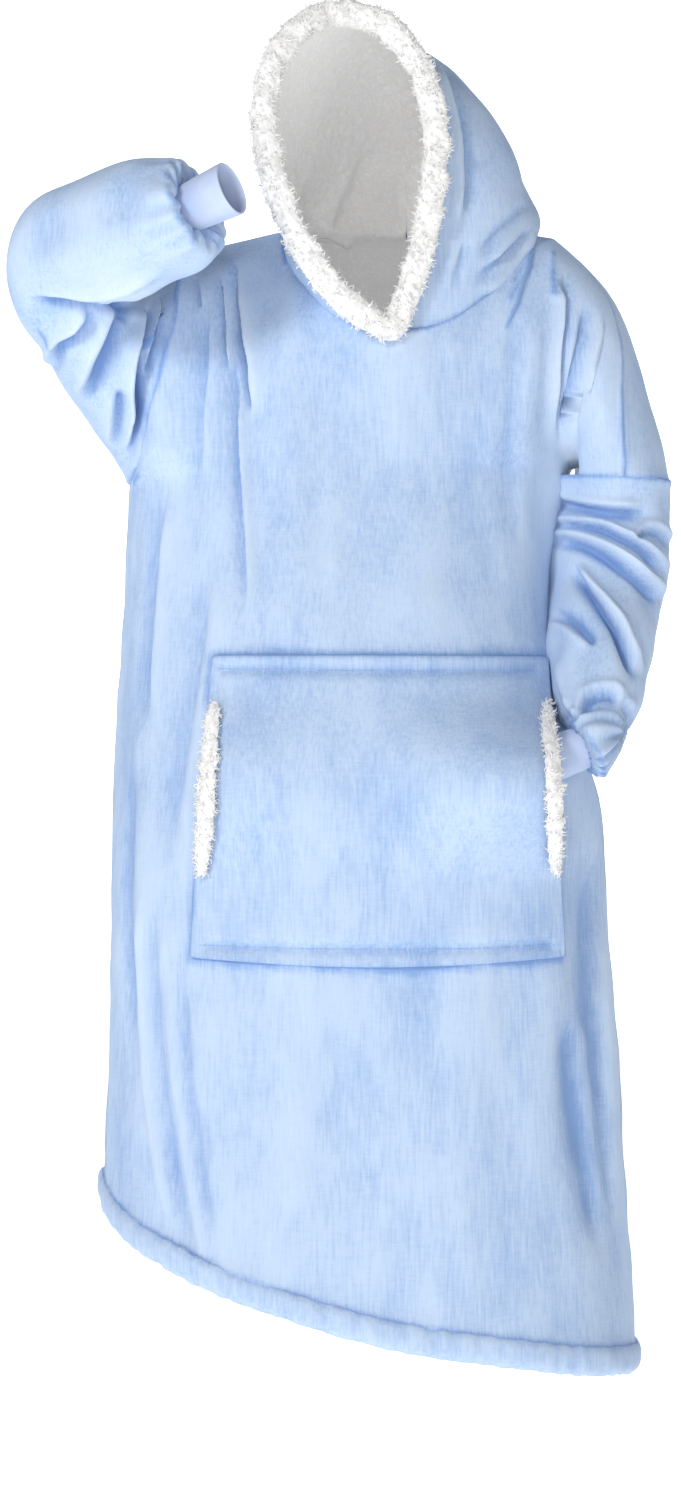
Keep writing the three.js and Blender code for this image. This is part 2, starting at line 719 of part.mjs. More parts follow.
// How far each arch's sides lean out at the middle of their height.
const hoodLeans = [
  { t: 0, leftLean: -52, rightLean: -4 },
  { t: 0.18, leftLean: -20, rightLean: 0 },
  { t: 0.38, leftLean: 0, rightLean: 0 },
  { t: 0.6, leftLean: 0, rightLean: 0 },
  { t: 0.8, leftLean: 0, rightLean: 0 },
  { t: 1, leftLean: 0, rightLean: 0 },
];
const footTravel = 150; // degrees that each foot of an arch moves round the neckline
const hoodLift = 1.2; // the hood's base stands this far above the neckline
const hoodBaseRise = 0.5; // how steeply it leaves the shoulder before it bellies out
const liningRise = 2.4; // the lining's base is sewn this far up inside the hood
const hoodClearance = 7.5; // from the panels to the hood's outer cloth
const hoodRows = 12;
const hoodColumns = 24;
const hoodFolds = [
  { a0: 0.13, b0: 0.6, a1: 0.12, b1: 0.84, width: 0.035, lift: -7 },
  { a0: 0.34, b0: 0.93, a1: 0.5, b1: 0.86, width: 0.05, lift: -14 },
  { a0: 0.5, b0: 0.12, a1: 0.6, b1: 0.22, width: 0.06, lift: -8 },
];

// A point of the neckline on the straight edges between the panels' columns.
function neckEdge(angle) {
  const first = Math.floor(angle / neckStep) * neckStep;
  return between(neckPoint(first), neckPoint(first + neckStep), (angle - first) / neckStep);
}

function archPoint(s, t) {
  const value = (key) => tableValue(hoodArches, "t", key, t);
  const lean = (key) => tableValue(hoodLeans, "t", key, t);
  const leftFoot = neckEdge(270 - footTravel * t);
  const rightFoot = neckEdge(270 + footTravel * t);
  const isLeft = s < 0.5;
  const angle = isLeft ? half * s : half * (1 - s);
  const rise = sine(angle);
  const spread = cosine(angle) * rise ** value(isLeft ? "leftPower" : "rightPower");
  const side = isLeft ? -1 : 1;
  const foot = between(leftFoot, rightFoot, 0.5);
  const apex = vector(value("x"), value("y"), value("z"));
  const footHalf = rightFoot.clone().sub(leftFoot).multiplyScalar(0.5 * side * (1 - rise));
  const point = between(foot, apex, rise).add(footHalf);
  const outwards = spread * value(isLeft ? "left" : "right");
  point.x += side * outwards;
  point.z += hoodBaseRise * outwards * Math.exp(-outwards / 30);
  point.y += (spread * lean(isLeft ? "leftLean" : "rightLean")) / 0.62;
  return point;
}

function hoodPoint(s, t) {
  const point = archPoint(s, t);
  const nape = neckEdge(270 - footTravel + (-(turn - 2 * footTravel)) * s);
  const miss = nape.sub(archPoint(s, 1));
  point.addScaledVector(miss, ease((t - 0.55) / 0.45));
  point.z += hoodLift;
  return point;
}

// Even steps along each arch, because the formula's own steps crowd at the foot.
function evenShares(t, count) {
  const fine = steps(160).map((s) => archPoint(s, t));
  const lengths = [0];
  fine.slice(1).forEach((point, i) => lengths.push(lengths[i] + point.distanceTo(fine[i])));
  return steps(count).map((share) => {
    const wanted = share * lengths[160];
    let k = 0;
    while (k < 159 && lengths[k + 1] < wanted) k++;
    return (k + (wanted - lengths[k]) / (lengths[k + 1] - lengths[k])) / 160;
  });
}

// Both halves meet at the crown, s = 0.5, so each half is spaced by itself.
function archShares(t) {
  const all = evenShares(t, 400);
  const crown = all.findIndex((s) => s >= 0.5);
  const pick = (from, to, share) => {
    const place = mix(from, to, share);
    const low = Math.floor(place);
    return mix(all[low], all[Math.min(low + 1, 400)], place - low);
  };
  const halfCount = hoodColumns / 2;
  const left = steps(halfCount).map((share) => pick(0, crown, share));
  const right = steps(halfCount).map((share) => pick(crown, 400, share));
  left[halfCount] = 0.5;
  return [...left, ...right.slice(1)];
}

// Moves a point until it is clear of the panels by a distance.
function clearOfPanels(point, distance) {
  const closest = vector(0, 0, 0);
  const nearest = vector(0, 0, 0);
  const normal = vector(0, 0, 0);
  let best = Infinity;
  for (const triangle of panelTriangles) {
    if (triangle.a.distanceToSquared(point) > 150 ** 2) continue;
    triangle.closestPointToPoint(point, closest);
    const gap = closest.distanceToSquared(point);
    if (gap < best - 1e-6) {
      best = gap;
      nearest.copy(closest);
      triangle.getNormal(normal);
    }
  }
  if (best === Infinity) return point;
  const offset = point.clone().sub(nearest);
  const height = Math.sign(offset.dot(normal)) * Math.sqrt(best);
  return height < distance ? point.addScaledVector(normal, distance - height) : point;
}

function hoodSheet() {
  const sheet = new SewnSheet();
  const rows = steps(hoodRows).map((share) => {
    const t = mix(0, 1, share ** 0.95);
    const shares = archShares(t);
    return sheet.row(
      shares.map((s, i) => {
        const isFoot = i === 0 || i === hoodColumns || share === 1;
        return isFoot ? hoodPoint(s, t) : clearOfPanels(hoodPoint(s, t), hoodClearance);
      }),
      (_, i) => foldLift(hoodFolds, t, i / hoodColumns),
    );
  });
  const middle = hoodColumns / 2;
  sheet.piece("right");
  sheet.grid(rows.map((row) => row.slice(0, middle + 1)));
  sheet.piece("left");
  sheet.grid(rows.map((row) => row.slice(middle)));
  sheet.raiseFolds();
  sheet.base = new Set([...rows.flatMap((row) => [row[0], row[hoodColumns]]), ...rows[hoodRows]]);
  return sheet;
}

// The white roll round the face opening, one closed ring that comes to a point at the throat.

const trimHalfWidth = 15;
const trimHalfDepth = 10;
const trimClearance = 14;
const trimSides = 8;
const trimSteps = 40;

function hoodTrim() {
  const shares = evenShares(0, trimSteps).slice(0, -1);
  const forward = trimHalfDepth + seamGap + 0.9;
  const path = shares.map((s) =>
    clearOfPanels(hoodPoint(s, 0).add(vector(0, -forward, 0)), trimClearance),
  );
  const rows = path.map((point, i) => {
    const ahead = path[(i + 1) % trimSteps].clone().sub(point).normalize();
    const behind = point.clone().sub(path[(i + trimSteps - 1) % trimSteps]).normalize();
    const along = ahead.clone().add(behind).normalize();
    const depthAxis = vector(0, -1, 0).addScaledVector(along, along.y).normalize();
    const outward = along.clone().cross(depthAxis).normalize();
    const wide = trimHalfWidth / Math.max(0.6, along.dot(ahead));
    return steps(trimSides).slice(0, -1).map((part) =>
      point
        .clone()
        .addScaledVector(outward, wide * cosine(part * turn))
        .addScaledVector(depthAxis, trimHalfDepth * sine(part * turn)),
    );
  });
  return closedRing(rows);
}

// A solid round a closed loop of sections, or between end caps when it is open.
function closedRing(rows, isOpen = false) {
  const sides = rows[0].length;
  const corners = rows.flat().flatMap((point) => point.toArray());
  const triangles = [];
  rows.forEach((_, i) => {
    if (isOpen && i === rows.length - 1) return;
    const next = (i + 1) % rows.length;
    for (let k = 0; k < sides; k++) {
      const [a, b] = [i * sides + k, i * sides + ((k + 1) % sides)];
      const [c, d] = [next * sides + ((k + 1) % sides), next * sides + k];
      triangles.push(a, b, c, a, c, d);
    }
  });
  if (isOpen) {
    const end = (rows.length - 1) * sides;
    for (let k = 1; k + 1 < sides; k++) {
      triangles.push(0, k + 1, k, end, end + k, end + k + 1);
    }
  }
  const volume = signedVolume(corners, triangles);
  if (volume < 0) {
    for (let i = 0; i < triangles.length; i += 3) {
      [triangles[i + 1], triangles[i + 2]] = [triangles[i + 2], triangles[i + 1]];
    }
  }
  return solidGeometry(corners, triangles);
}

function signedVolume(corners, triangles) {
  const point = (i) => vector(corners[3 * i], corners[3 * i + 1], corners[3 * i + 2]);
  let sum = 0;
  for (let i = 0; i < triangles.length; i += 3) {
    const [a, b, c] = [0, 1, 2].map((k) => point(triangles[i + k]));
    sum += a.dot(b.cross(c));
  }
  return sum;
}

// Hem: a turned-up band round the lower edge.

const hemProfile = [
  { out: 0.2, down: 0 },
  { out: 0.5, down: 0.12 },
  { out: 0.62, down: 0.5 },
  { out: 0.5, down: 0.86 },
  { out: 0.1, down: 1 },
  { out: -0.3, down: 0.86 },
  { out: -0.38, down: 0.5 },
  { out: -0.3, down: 0.12 },
];

function hemBand(angles) {
  const rows = angles.map((angle) => {
    const top = hemHeight(angle) + hemBandHeight;
    const step = 1.5;
    const point = torsoPoint(angle, top);
    const tangent = torsoPoint(angle + step, top).sub(torsoPoint(angle - step, top));
    const out = vector(-tangent.y, tangent.x, 0).normalize();
    if (out.dot(vector(point.x - torsoSize(top).middle, point.y, 0)) < 0) out.negate();
    return hemProfile.map((corner) =>
      point
        .clone()
        .addScaledVector(out, corner.out * hemBandThickness - plush / 2)
        .add(vector(0, 0, -corner.down * hemBandHeight)),
    );
  });
  return closedRing(rows);
}

// Pocket: one wide patch, sewn along its top and bottom and at the ends of its sides.

const pocket = {
  topLeft: -191,
  topRight: 178,
  bottomLeft: -215,
  bottomRight: 196.5,
  top: -452,
  bottom: -785,
  sag: 10,
  mouthTop: 0.165,
  mouthBottom: 0.72,
  centreGap: 10,
  leftGap: 22,
  rightGap: 74,
  thickness: 4,
};
const pocketColumns = 14;
const pocketRows = 14;

const mouthBump = (down) => {
  const share = clamp01((down - pocket.mouthTop) / (pocket.mouthBottom - pocket.mouthTop));
  return sine(half * share ** 0.8) ** 1.2;
};

function pocketGap(across, down) {
  const fullBump = Math.max(0, sine(half * down)) ** 0.8;
  const centre = pocket.centreGap * Math.max(0, sine(half * across)) ** 0.6 * fullBump;
  const left = pocket.leftGap * Math.exp(-((across / 0.28) ** 2));
  const right = pocket.rightGap * Math.exp(-(((1 - across) / 0.34) ** 2));
  return centre + (left + right) * mouthBump(down);
}

// How far forward a set of triangles reaches at x and z.
function foremost(triangles, x, z) {
  const ray = new THREE.Ray(vector(x, -2000, z), vector(0, 1, 0));
  const hit = vector(0, 0, 0);
  let y = Infinity;
  for (const { a, b, c } of triangles) {
    const isNear =
      Math.min(a.x, b.x, c.x) <= x && Math.max(a.x, b.x, c.x) >= x &&
      Math.min(a.z, b.z, c.z) <= z && Math.max(a.z, b.z, c.z) >= z;
    if (isNear && ray.intersectTriangle(a, b, c, false, hit)) y = Math.min(y, hit.y);
  }
  return y;
}

function pocketPoint(across, down, extra = 0) {
  const left = mix(pocket.topLeft, pocket.bottomLeft, down);
  const right = mix(pocket.topRight, pocket.bottomRight, down);
  const x = mix(left, right, across);
  const z = mix(pocket.top, pocket.bottom, down) - pocket.sag * sine(half * across) * down ** 3;
  const step = 1;
  const slope = (torsoFrontY(x + step, z) - torsoFrontY(x - step, z)) / (2 * step);
  const out = vector(slope, -1, 0).normalize();
  return vector(x, foremost(frontTriangles, x, z) - pocketGap(across, down) - extra, z).addScaledVector(
    out,
    sewnStep + pocket.thickness,
  );
}

const finerAtEnds = (share) => mix(share, (1 - cosine(half * share)) / 2, 0.7);

function pocketSheet() {
  const sheet = new SewnSheet();
  sheet.piece("pocket");
  sheet.grid(
    steps(pocketRows)
      .reverse()
      .map((down) =>
        sheet.row(steps(pocketColumns).map((share) => pocketPoint(finerAtEnds(share), down))),
      ),
  );
  sheet.raiseFolds();
  return sheet.wall("pocket", pocket.thickness);
}

// The white rolls on the pocket's two mouths.

const pocketTrim = { halfWidth: 9.5, halfDepth: 6, inset: 0.024, steps: 9, sides: 8 };

function pocketTrimGeometry(isLeftSide) {
  const across = isLeftSide ? pocketTrim.inset : 1 - pocketTrim.inset;
  const rows = steps(pocketTrim.steps).map((share) => {
    const down = mix(pocket.mouthTop, pocket.mouthBottom, share);
    const size = 0.55 + 0.45 * Math.min(1, 6 * share * (1 - share));
    const step = 0.01;
    const sideways = pocketPoint(across + step, down)
      .sub(pocketPoint(across - step, down))
      .normalize();
    const downwards = pocketPoint(across, down + step).sub(pocketPoint(across, down - step));
    const out = downwards.cross(sideways).normalize();
    const centre = pocketPoint(across, down).addScaledVector(out, pocketTrim.halfDepth + 3 * seamGap);
    return steps(pocketTrim.sides).slice(0, -1).map((part) =>
      centre
        .clone()
        .addScaledVector(sideways, size * pocketTrim.halfWidth * cosine(part * turn))
        .addScaledVector(out, size * pocketTrim.halfDepth * sine(part * turn)),
    );
  });
  return closedRing(rows, true);
}

// Assembly

const blue = { color: 0x9dbcec, roughness: 0.9, metalness: 0 };
const white = { color: 0xf4f2f0, roughness: 1, metalness: 0 };
const knit = { color: 0xa9c2ee, roughness: 0.85, metalness: 0 };

const garment = new THREE.Group();

function addPiece(name, geometry, finish) {
  const mesh = new THREE.Mesh(geometry, new THREE.MeshStandardMaterial(finish));
  mesh.name = name;
  garment.add(mesh);
}

const sewn = new SewnSheet();
sewn.piece("front_panel");
const front = bodyPanel(sewn, true);
sewn.piece("back_panel");
const back = bodyPanel(sewn, false);

// Round an armhole: up the front edge, and down the back edge.
const armholeRow = (key) => [...front[key].slice(0, -1), ...back[key].slice(1).reverse()];
const evenAngles = steps(2 * upperRows).slice(0, -1).map((share) => share * turn);
const hangingAngles = [
  ...steps(upperRows).slice(0, -1).map((t) => t * seamAngle(fanEnd)),
  ...steps(upperRows).slice(1).reverse().map((t) => turn - t * (turn - seamAngle(fanEnd))),
];
sewn.piece("sleeve_right");
sleeve(sewn, {
  firstRow: armholeRow("raisedSide"),
  angles: evenAngles,
  sections: raisedSections,
  folds: raisedFolds,
  rings: raisedRings,
  isHanging: false,
  cuff: raisedCuff,
  gathers: raisedGathers,
});
sewn.piece("sleeve_left");
sleeve(sewn, {
  firstRow: armholeRow("hangingSide"),
  angles: hangingAngles,
  sections: hangingSections,
  folds: hangingFolds,
  rings: hangingRings,
  isHanging: true,
  cuff: hangingCuff,
  gathers: hangingGathers,
});
sewn.raiseFolds();
const frontTriangles = sewn.triangles("front_panel");
const panelTriangles = [...frontTriangles, ...sewn.triangles("back_panel")];
for (const name of ["front_panel", "back_panel", "sleeve_right", "sleeve_left"]) {
  addPiece(name, sewn.wall(name, plush), blue);
}

const hood = hoodSheet();
const baseInset = (distance) => (i) => (hood.base.has(i) ? distance : rimInset);
for (const side of ["right", "left"]) {
  addPiece("hood_" + side, hood.wall(side, hoodPlush, 0, baseInset(0.5)), blue);
  const lining = hood.wall(side, liningPile, hoodPlush + 3 * seamGap, baseInset(liningRise));
  addPiece("hood_lining_" + side, lining, white);
}
addPiece("hood_trim", hoodTrim(), white);
addPiece("cuff_right", cuffGeometry(raisedCuff), knit);
addPiece("cuff_left", cuffGeometry(hangingCuff), knit);
const hemAngles = [...panelColumns(frontStretches).slice(0, -1), ...panelColumns(backStretches).slice(0, -1)];
addPiece("hem_band", hemBand(hemAngles.map((column) => column.angle)), blue);
addPiece("pocket", pocketSheet(), blue);
addPiece("pocket_trim_right", pocketTrimGeometry(true), white);
addPiece("pocket_trim_left", pocketTrimGeometry(false), white);

export default garment;
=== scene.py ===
# A wearable blanket hoodie, worn pose: flannel fleece outside, white sherpa pile inside and on the trims.
import math
import bmesh
import bpy
import numpy as np
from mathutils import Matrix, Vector


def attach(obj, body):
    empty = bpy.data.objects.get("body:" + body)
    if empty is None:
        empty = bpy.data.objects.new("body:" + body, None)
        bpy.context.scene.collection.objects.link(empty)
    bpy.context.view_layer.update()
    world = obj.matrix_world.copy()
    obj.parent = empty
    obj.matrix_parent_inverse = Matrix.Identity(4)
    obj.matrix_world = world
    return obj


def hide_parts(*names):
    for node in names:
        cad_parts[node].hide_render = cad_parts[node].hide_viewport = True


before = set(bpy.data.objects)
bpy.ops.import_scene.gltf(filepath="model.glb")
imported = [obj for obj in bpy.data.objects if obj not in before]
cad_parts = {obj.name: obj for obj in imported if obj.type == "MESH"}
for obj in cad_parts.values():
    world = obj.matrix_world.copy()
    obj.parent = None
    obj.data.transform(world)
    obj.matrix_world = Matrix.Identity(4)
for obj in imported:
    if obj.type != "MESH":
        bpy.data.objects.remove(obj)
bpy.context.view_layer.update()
scene = bpy.context.scene
mm = 0.001

# the camera stands six metres off, level, at the height of the middle of the picture
camera = {"place": (-0.0507, -6.0, -0.5563), "lens": 126.3, "filmSide": 36.0}
# floor is a height in metres, glow and sky are strengths of white light, key to face are powers of lamps in
# watts
studio = {"floor": -1.475, "paper": "#fdfdfd", "glow": 0.85, "sky": 0.24, "key": 150, "fill": 8, "rim": 8,
          "face": 26}

cameraData = bpy.data.cameras.new("camera")
cameraObject = bpy.data.objects.new("camera", cameraData)
scene.collection.objects.link(cameraObject)
cameraObject.location = camera["place"]
cameraObject.rotation_euler = (math.pi / 2, 0, 0)
cameraData.lens, cameraData.sensor_width = camera["lens"], camera["filmSide"]
scene.camera = cameraObject


# materials

def toLinear(code):
    # sRGB hex to linear: each channel c becomes ((c + 0.055) / 1.055) ** 2.4, or c / 12.92 near black
    c = np.array([int(code[k:k + 2], 16) for k in (1, 3, 5)]) / 255
    return (*np.where(c > 0.04045, ((c + 0.055) / 1.055) ** 2.4, c / 12.92), 1.0)


def addNode(tree, kind, settings=(), links=()):
    # one node: settings are attributes or input values by name, links are (input, node, output)
    node = tree.nodes.new(kind)
    for name, value in dict(settings).items():
        if isinstance(name, int) or name in node.inputs:
            node.inputs[name].default_value = value
        else:
            setattr(node, name, value)
    for into, source, out in links:
        tree.links.new(source.outputs[out], node.inputs[into])
    return node


def newMaterial(name, shaderValues):
    # a material, its tree and its shader, with the shader's values by input name
    made = bpy.data.materials.new(name)
    made.use_nodes = True
    tree = made.node_tree
    shader = tree.nodes["Principled BSDF"]
    for key, value in shaderValues.items():
        shader.inputs[key].default_value = value
    return made, tree, shader


def stretchedNoise(tree, place, size, detail, roughness=0.5):
    # noise whose grain is size[0] mm wide and size[1] mm tall
    wide, tall = 1 / (size[0] * mm), 1 / (size[1] * mm)
    scaled = addNode(tree, "ShaderNodeMapping", {"Scale": (wide, wide, tall)}, [("Vector", place, "Object")])
    return addNode(tree, "ShaderNodeTexNoise", {"Scale": 1.0, "Detail": detail, "Roughness": roughness},
                   [("Vector", scaled, "Vector")])


def evenNoise(tree, place, size, detail, roughness=0.5):
    # noise whose grain is size mm every way
    return addNode(tree, "ShaderNodeTexNoise",
                   {"Scale": 1 / (size * mm), "Detail": detail, "Roughness": roughness},
                   [("Vector", place, "Object")])


def timesPlus(tree, pattern, factor, rest, restOut=0, out="Fac"):
    # pattern x factor + rest
    return addNode(tree, "ShaderNodeMath", {"operation": "MULTIPLY_ADD", 1: factor},
                   [(0, pattern, out), (2, rest, restOut)])


def surface(tree, shader, shade, stops, height, strength, deep, heightOut=0):
    # the base colour by a ramp over shade, its stops (position, colour) from dark to light, and the surface
    # raised by height, deep mm at most
    ramp = addNode(tree, "ShaderNodeValToRGB", {}, [("Fac", shade, 0)])
    ends = ramp.color_ramp.elements
    for end, (position, colour) in zip((ends[0], ends[1]), (stops[0], stops[-1])):
        end.position, end.color = position, toLinear(colour)
    for position, colour in stops[1:-1]:
        ends.new(position).color = toLinear(colour)
    tree.links.new(ramp.outputs["Color"], shader.inputs["Base Color"])
    bump = addNode(tree, "ShaderNodeBump", {"Strength": strength, "Distance": deep * mm},
                   [("Height", height, heightOut)])
    tree.links.new(bump.outputs["Normal"], shader.inputs["Normal"])


# grain sizes in mm, width and height where there are two, and how much each pattern counts in the shade
fleeceLook = {"patch": (40, 95), "streak": (2.5, 34), "rib": (14, 2.2), "fibre": 1.7,
              "patches": 0.24, "streaks": 0.27, "ribs": 0.10, "grain": 0.6, "stops": (0.10, 0.33, 0.58)}
sherpaLook = {"curl": 4.2, "fibre": 1.2, "curlDepth": -1.1, "stops": (0.0, 0.55)}
jerseyLook = {"wale": 2, "wide": 30, "wales": 0.35, "stops": (0.40, 0.95)}


def flannelFleece(name, light, mid, deep):
    # polyester flannel fleece: brushed short nap, so a matt surface whose edges catch a pale sheen. The nap
    # lies in soft patches, with streaks down the cloth and the knit ground's crosswise ribs only just seen
    # through it: shade = patches + streaks + ribs, each times its weight, + the piece's painted light and
    # shade, which darkens the colour in creases and at rims and lightens it on rolls
    made, tree, shader = newMaterial(name, {
        "Roughness": 0.92, "Specular IOR Level": 0.15, "Sheen Weight": 0.3,
        "Sheen Roughness": 0.42, "Sheen Tint": toLinear("#c2dbff")})
    place = addNode(tree, "ShaderNodeTexCoord")
    patches = stretchedNoise(tree, place, fleeceLook["patch"], 3.5, 0.6)
    streaks = stretchedNoise(tree, place, fleeceLook["streak"], 2.0)
    ribs = stretchedNoise(tree, place, fleeceLook["rib"], 1.0)
    fibres = evenNoise(tree, place, fleeceLook["fibre"], 3.0, 0.7)
    paintedShading = addNode(tree, "ShaderNodeAttribute", {"attribute_name": "paintedShading"})
    streaked = addNode(tree, "ShaderNodeMath", {"operation": "MULTIPLY", 1: fleeceLook["streaks"]},
                       [(0, streaks, "Fac")])
    patched = timesPlus(tree, patches, fleeceLook["patches"], streaked)
    ribbed = timesPlus(tree, ribs, fleeceLook["ribs"], patched)
    shade = timesPlus(tree, paintedShading, 1.0, ribbed)
    grain = timesPlus(tree, streaks, fleeceLook["grain"], fibres, "Fac")
    surface(tree, shader, shade, list(zip(fleeceLook["stops"], (deep, mid, light))), grain, 0.34, 1.1)
    return made


def sherpaPile(name, light, deep):
    # sherpa: white polyester pile drawn into curls about 4 mm across, soft and without gloss:
    # height = distance from a curl's seat x its depth + fibres, and shade = height + the piece's painted light
    # and shade; the colour is thus painted darker between the curls and lighter on their tops, painted shade
    made, tree, shader = newMaterial(name, {
        "Roughness": 1.0, "Specular IOR Level": 0.1, "Sheen Weight": 0.35,
        "Sheen Roughness": 0.5, "Sheen Tint": toLinear("#ffffff")})
    place = addNode(tree, "ShaderNodeTexCoord")
    curl = addNode(tree, "ShaderNodeTexVoronoi",
                   {"Scale": 1 / (sherpaLook["curl"] * mm), "feature": "SMOOTH_F1", "Smoothness": 0.6},
                   [("Vector", place, "Object")])
    fibres = evenNoise(tree, place, sherpaLook["fibre"], 3.0, 0.7)
    height = timesPlus(tree, curl, sherpaLook["curlDepth"], fibres, "Fac", "Distance")
    paintedShading = addNode(tree, "ShaderNodeAttribute", {"attribute_name": "paintedShading"})
    shade = addNode(tree, "ShaderNodeMath", {"operation": "ADD"}, [(0, height, 0), (1, paintedShading, "Fac")])
    surface(tree, shader, shade, list(zip(sherpaLook["stops"], (deep, light))), height, 0.55, 1.6)
    return made


def linedWith(pile, name, glow):
    # the same pile as a lining, given a faint painted glow by emission that lightens it in the hood's shade
    made = pile.copy()
    made.name = name
    shader = made.node_tree.nodes["Principled BSDF"]
    shader.inputs["Emission Color"].default_value = toLinear("#f3f3f6")
    shader.inputs["Emission Strength"].default_value = glow
    return made


def fineJersey(name, light, deep):
    # fine cotton jersey of the cuffs: smooth, matt, with wales about 1.4 mm apart, drawn at 2 mm so that they
    # show; shade = wales x weight + broad unevenness
    made, tree, shader = newMaterial(name, {
        "Roughness": 0.85, "Specular IOR Level": 0.25, "Sheen Weight": 0.2, "Sheen Roughness": 0.5,
        "Sheen Tint": toLinear("#eef3ff")})
    place = addNode(tree, "ShaderNodeTexCoord")
    knit = evenNoise(tree, place, jerseyLook["wale"], 2.0)
    wide = evenNoise(tree, place, jerseyLook["wide"], 1.0)
    shade = timesPlus(tree, knit, jerseyLook["wales"], wide, "Fac")
    surface(tree, shader, shade, list(zip(jerseyLook["stops"], (deep, light))), knit, 0.2, 0.5, "Fac")
    return made


flannel = flannelFleece("flannelFleeceBlue", "#cbdaec", "#b8cce7", "#87a6d5")
sherpa = sherpaPile("sherpaPileWhite", "#ffffff", "#f3f2f1")
lining = linedWith(sherpa, "sherpaPileLining", 0.045)
jersey = fineJersey("fineJerseyPaleBlue", "#c9d5ee", "#b6c6e6")
thread = fineJersey("polyesterThreadBlue", "#a9c4f0", "#93b3e8")
print("materials made")


# shapes as whole arrays

def ease(t):
    # 0 below 0, 1 above 1, and 3 t squared - 2 t cubed between
    t = np.clip(t, 0, 1)
    return t * t * (3 - 2 * t)


def unevenness(points, size, seed, waves=20):
    # sum of sine waves in random directions with wavelengths near size, mostly between -1.5 and 1.5
    draw = np.random.default_rng(seed)
    way = draw.normal(size=(waves, 3))
    way *= 2 * math.pi / size * draw.uniform(0.65, 1.5, (waves, 1)) / np.linalg.norm(way, axis=1, keepdims=True)
    return np.sin(points @ way.T + draw.uniform(0, 2 * math.pi, waves)).sum(1) / math.sqrt(waves)


def curls(points, size, seed):
    # rounded lumps: 1 at the seat of the nearest curl, 0 at its edge; seats are one to a cell, moved at
    # random
    seats = np.random.default_rng(seed).random((16, 16, 16, 3))
    cell = np.floor(points / size).astype(int)
    best = np.full(len(points), 9.0)
    for shift in np.stack(np.meshgrid(*[(-1, 0, 1)] * 3), -1).reshape(-1, 3):
        near = cell + shift
        seat = near + seats[tuple((near % 16).T)]
        best = np.minimum(best, ((points / size - seat) ** 2).sum(1))
    return np.clip(1 - best / 0.9, 0, 1)


def smoothLine(corners, step=9.0):
    # Catmull-Rom curve through the corners, a point about every step mm
    p = np.array(corners, float)
    p = np.vstack([2 * p[0] - p[1], p, 2 * p[-1] - p[-2]])
    parts = []
    for a, b, c, d in zip(p, p[1:], p[2:], p[3:]):
        t = np.arange(0, 1, step / max(np.linalg.norm(c - b), step))[:, None]
        parts.append(0.5 * (2 * b + (c - a) * t + (2 * a - 5 * b + 4 * c - d) * t ** 2
                            + (3 * b - a - 3 * c + d) * t ** 3))
    return np.vstack([*parts, p[-2:-1]])


# the creases' widths are taken times width, and the colour is painted darker by shade for each mm of depth,
# painted shade in the troughs and painted light on the rolls; wall is the cloth's thickness; reach, steep,
# gentle and rollAt are in widths: how far a crease is worked out, how wide its trough is on the roll's side
# and on the other, and where the roll stands
creaseLook = {"width": 0.75, "shade": 0.018, "wall": 3.0, "reach": 4.5, "steep": 0.65, "gentle": 1.35,
              "rollAt": 1.45}


def creaseHeight(flat, fold):
    # a crease along a line: a trough of Gauss shape on it, and a fuller roll beside it on the side that roll
    # says; both fade towards the line's ends. The trough is steep on the roll's side, as where cloth folds
    # over
    line = smoothLine(fold["line"])
    begin, step = line[:-1], np.diff(line, axis=0)
    long = np.linalg.norm(step, axis=1)
    walked = np.concatenate([[0], np.cumsum(long)])
    reach = creaseLook["reach"] * fold["width"]
    near = np.flatnonzero(((flat > line.min(0) - reach) & (flat < line.max(0) + reach)).all(1))
    here = flat[near]
    best, side, along = np.full(len(near), 1e9), np.zeros(len(near)), np.zeros(len(near))
    for k in range(len(step)):
        away = here - begin[k]
        t = np.clip(away @ step[k] / long[k] ** 2, 0, 1)
        gap = away - t[:, None] * step[k]
        far = np.hypot(*gap.T)
        closer = far < best
        best = np.where(closer, far, best)
        side = np.where(closer, np.sign(step[k][0] * gap[:, 1] - step[k][1] * gap[:, 0]), side)
        along = np.where(closer, (walked[k] + t * long[k]) / walked[-1], along)
    signed = best * side / (creaseLook["width"] * fold["width"])
    ends = ease(along / fold.get("fadeIn", 0.18)) * ease((1 - along) / fold.get("fadeOut", 0.25))
    roll = fold.get("roll", 0.45)
    slope = np.where(signed * np.sign(roll) > 0, creaseLook["steep"], creaseLook["gentle"])
    trough = -np.exp(-(signed / slope) ** 2)
    swell = abs(roll) * np.exp(-(signed - creaseLook["rollAt"] * np.sign(roll)) ** 2)
    height = np.zeros(len(flat))
    height[near] = fold["depth"] * (trough + swell) * ends
    return height


def pathDirections(points, path):
    # from the nearest point of a path to each point, length 1: the way out of a tube whose middle is that
    # path
    path = smoothLine(path, 6.0)
    best = np.full(len(points), 1e9)
    seat = np.zeros((len(points), 3))
    for a, b in zip(path, path[1:]):
        t = np.clip((points - a) @ (b - a) / ((b - a) @ (b - a)), 0, 1)
        foot = a + t[:, None] * (b - a)
        far = np.linalg.norm(points - foot, axis=1)
        closer = far < best
        best, seat = np.where(closer, far, best), np.where(closer[:, None], foot, seat)
    out = points - seat
    return out / np.maximum(np.linalg.norm(out, axis=1), 1e-6)[:, None]


bodyMiddle = -18  # x of the upright line down the middle of the body


def bodyDirections(points):
    # level, away from the line down the middle of the body
    out = points * (1, 1, 0) - (bodyMiddle, 0, 0)
    return out / np.maximum(np.linalg.norm(out, axis=1), 1e-6)[:, None]


# meshes

rimEdges = {}  # each piece's sharp edges, filled by clothFrom
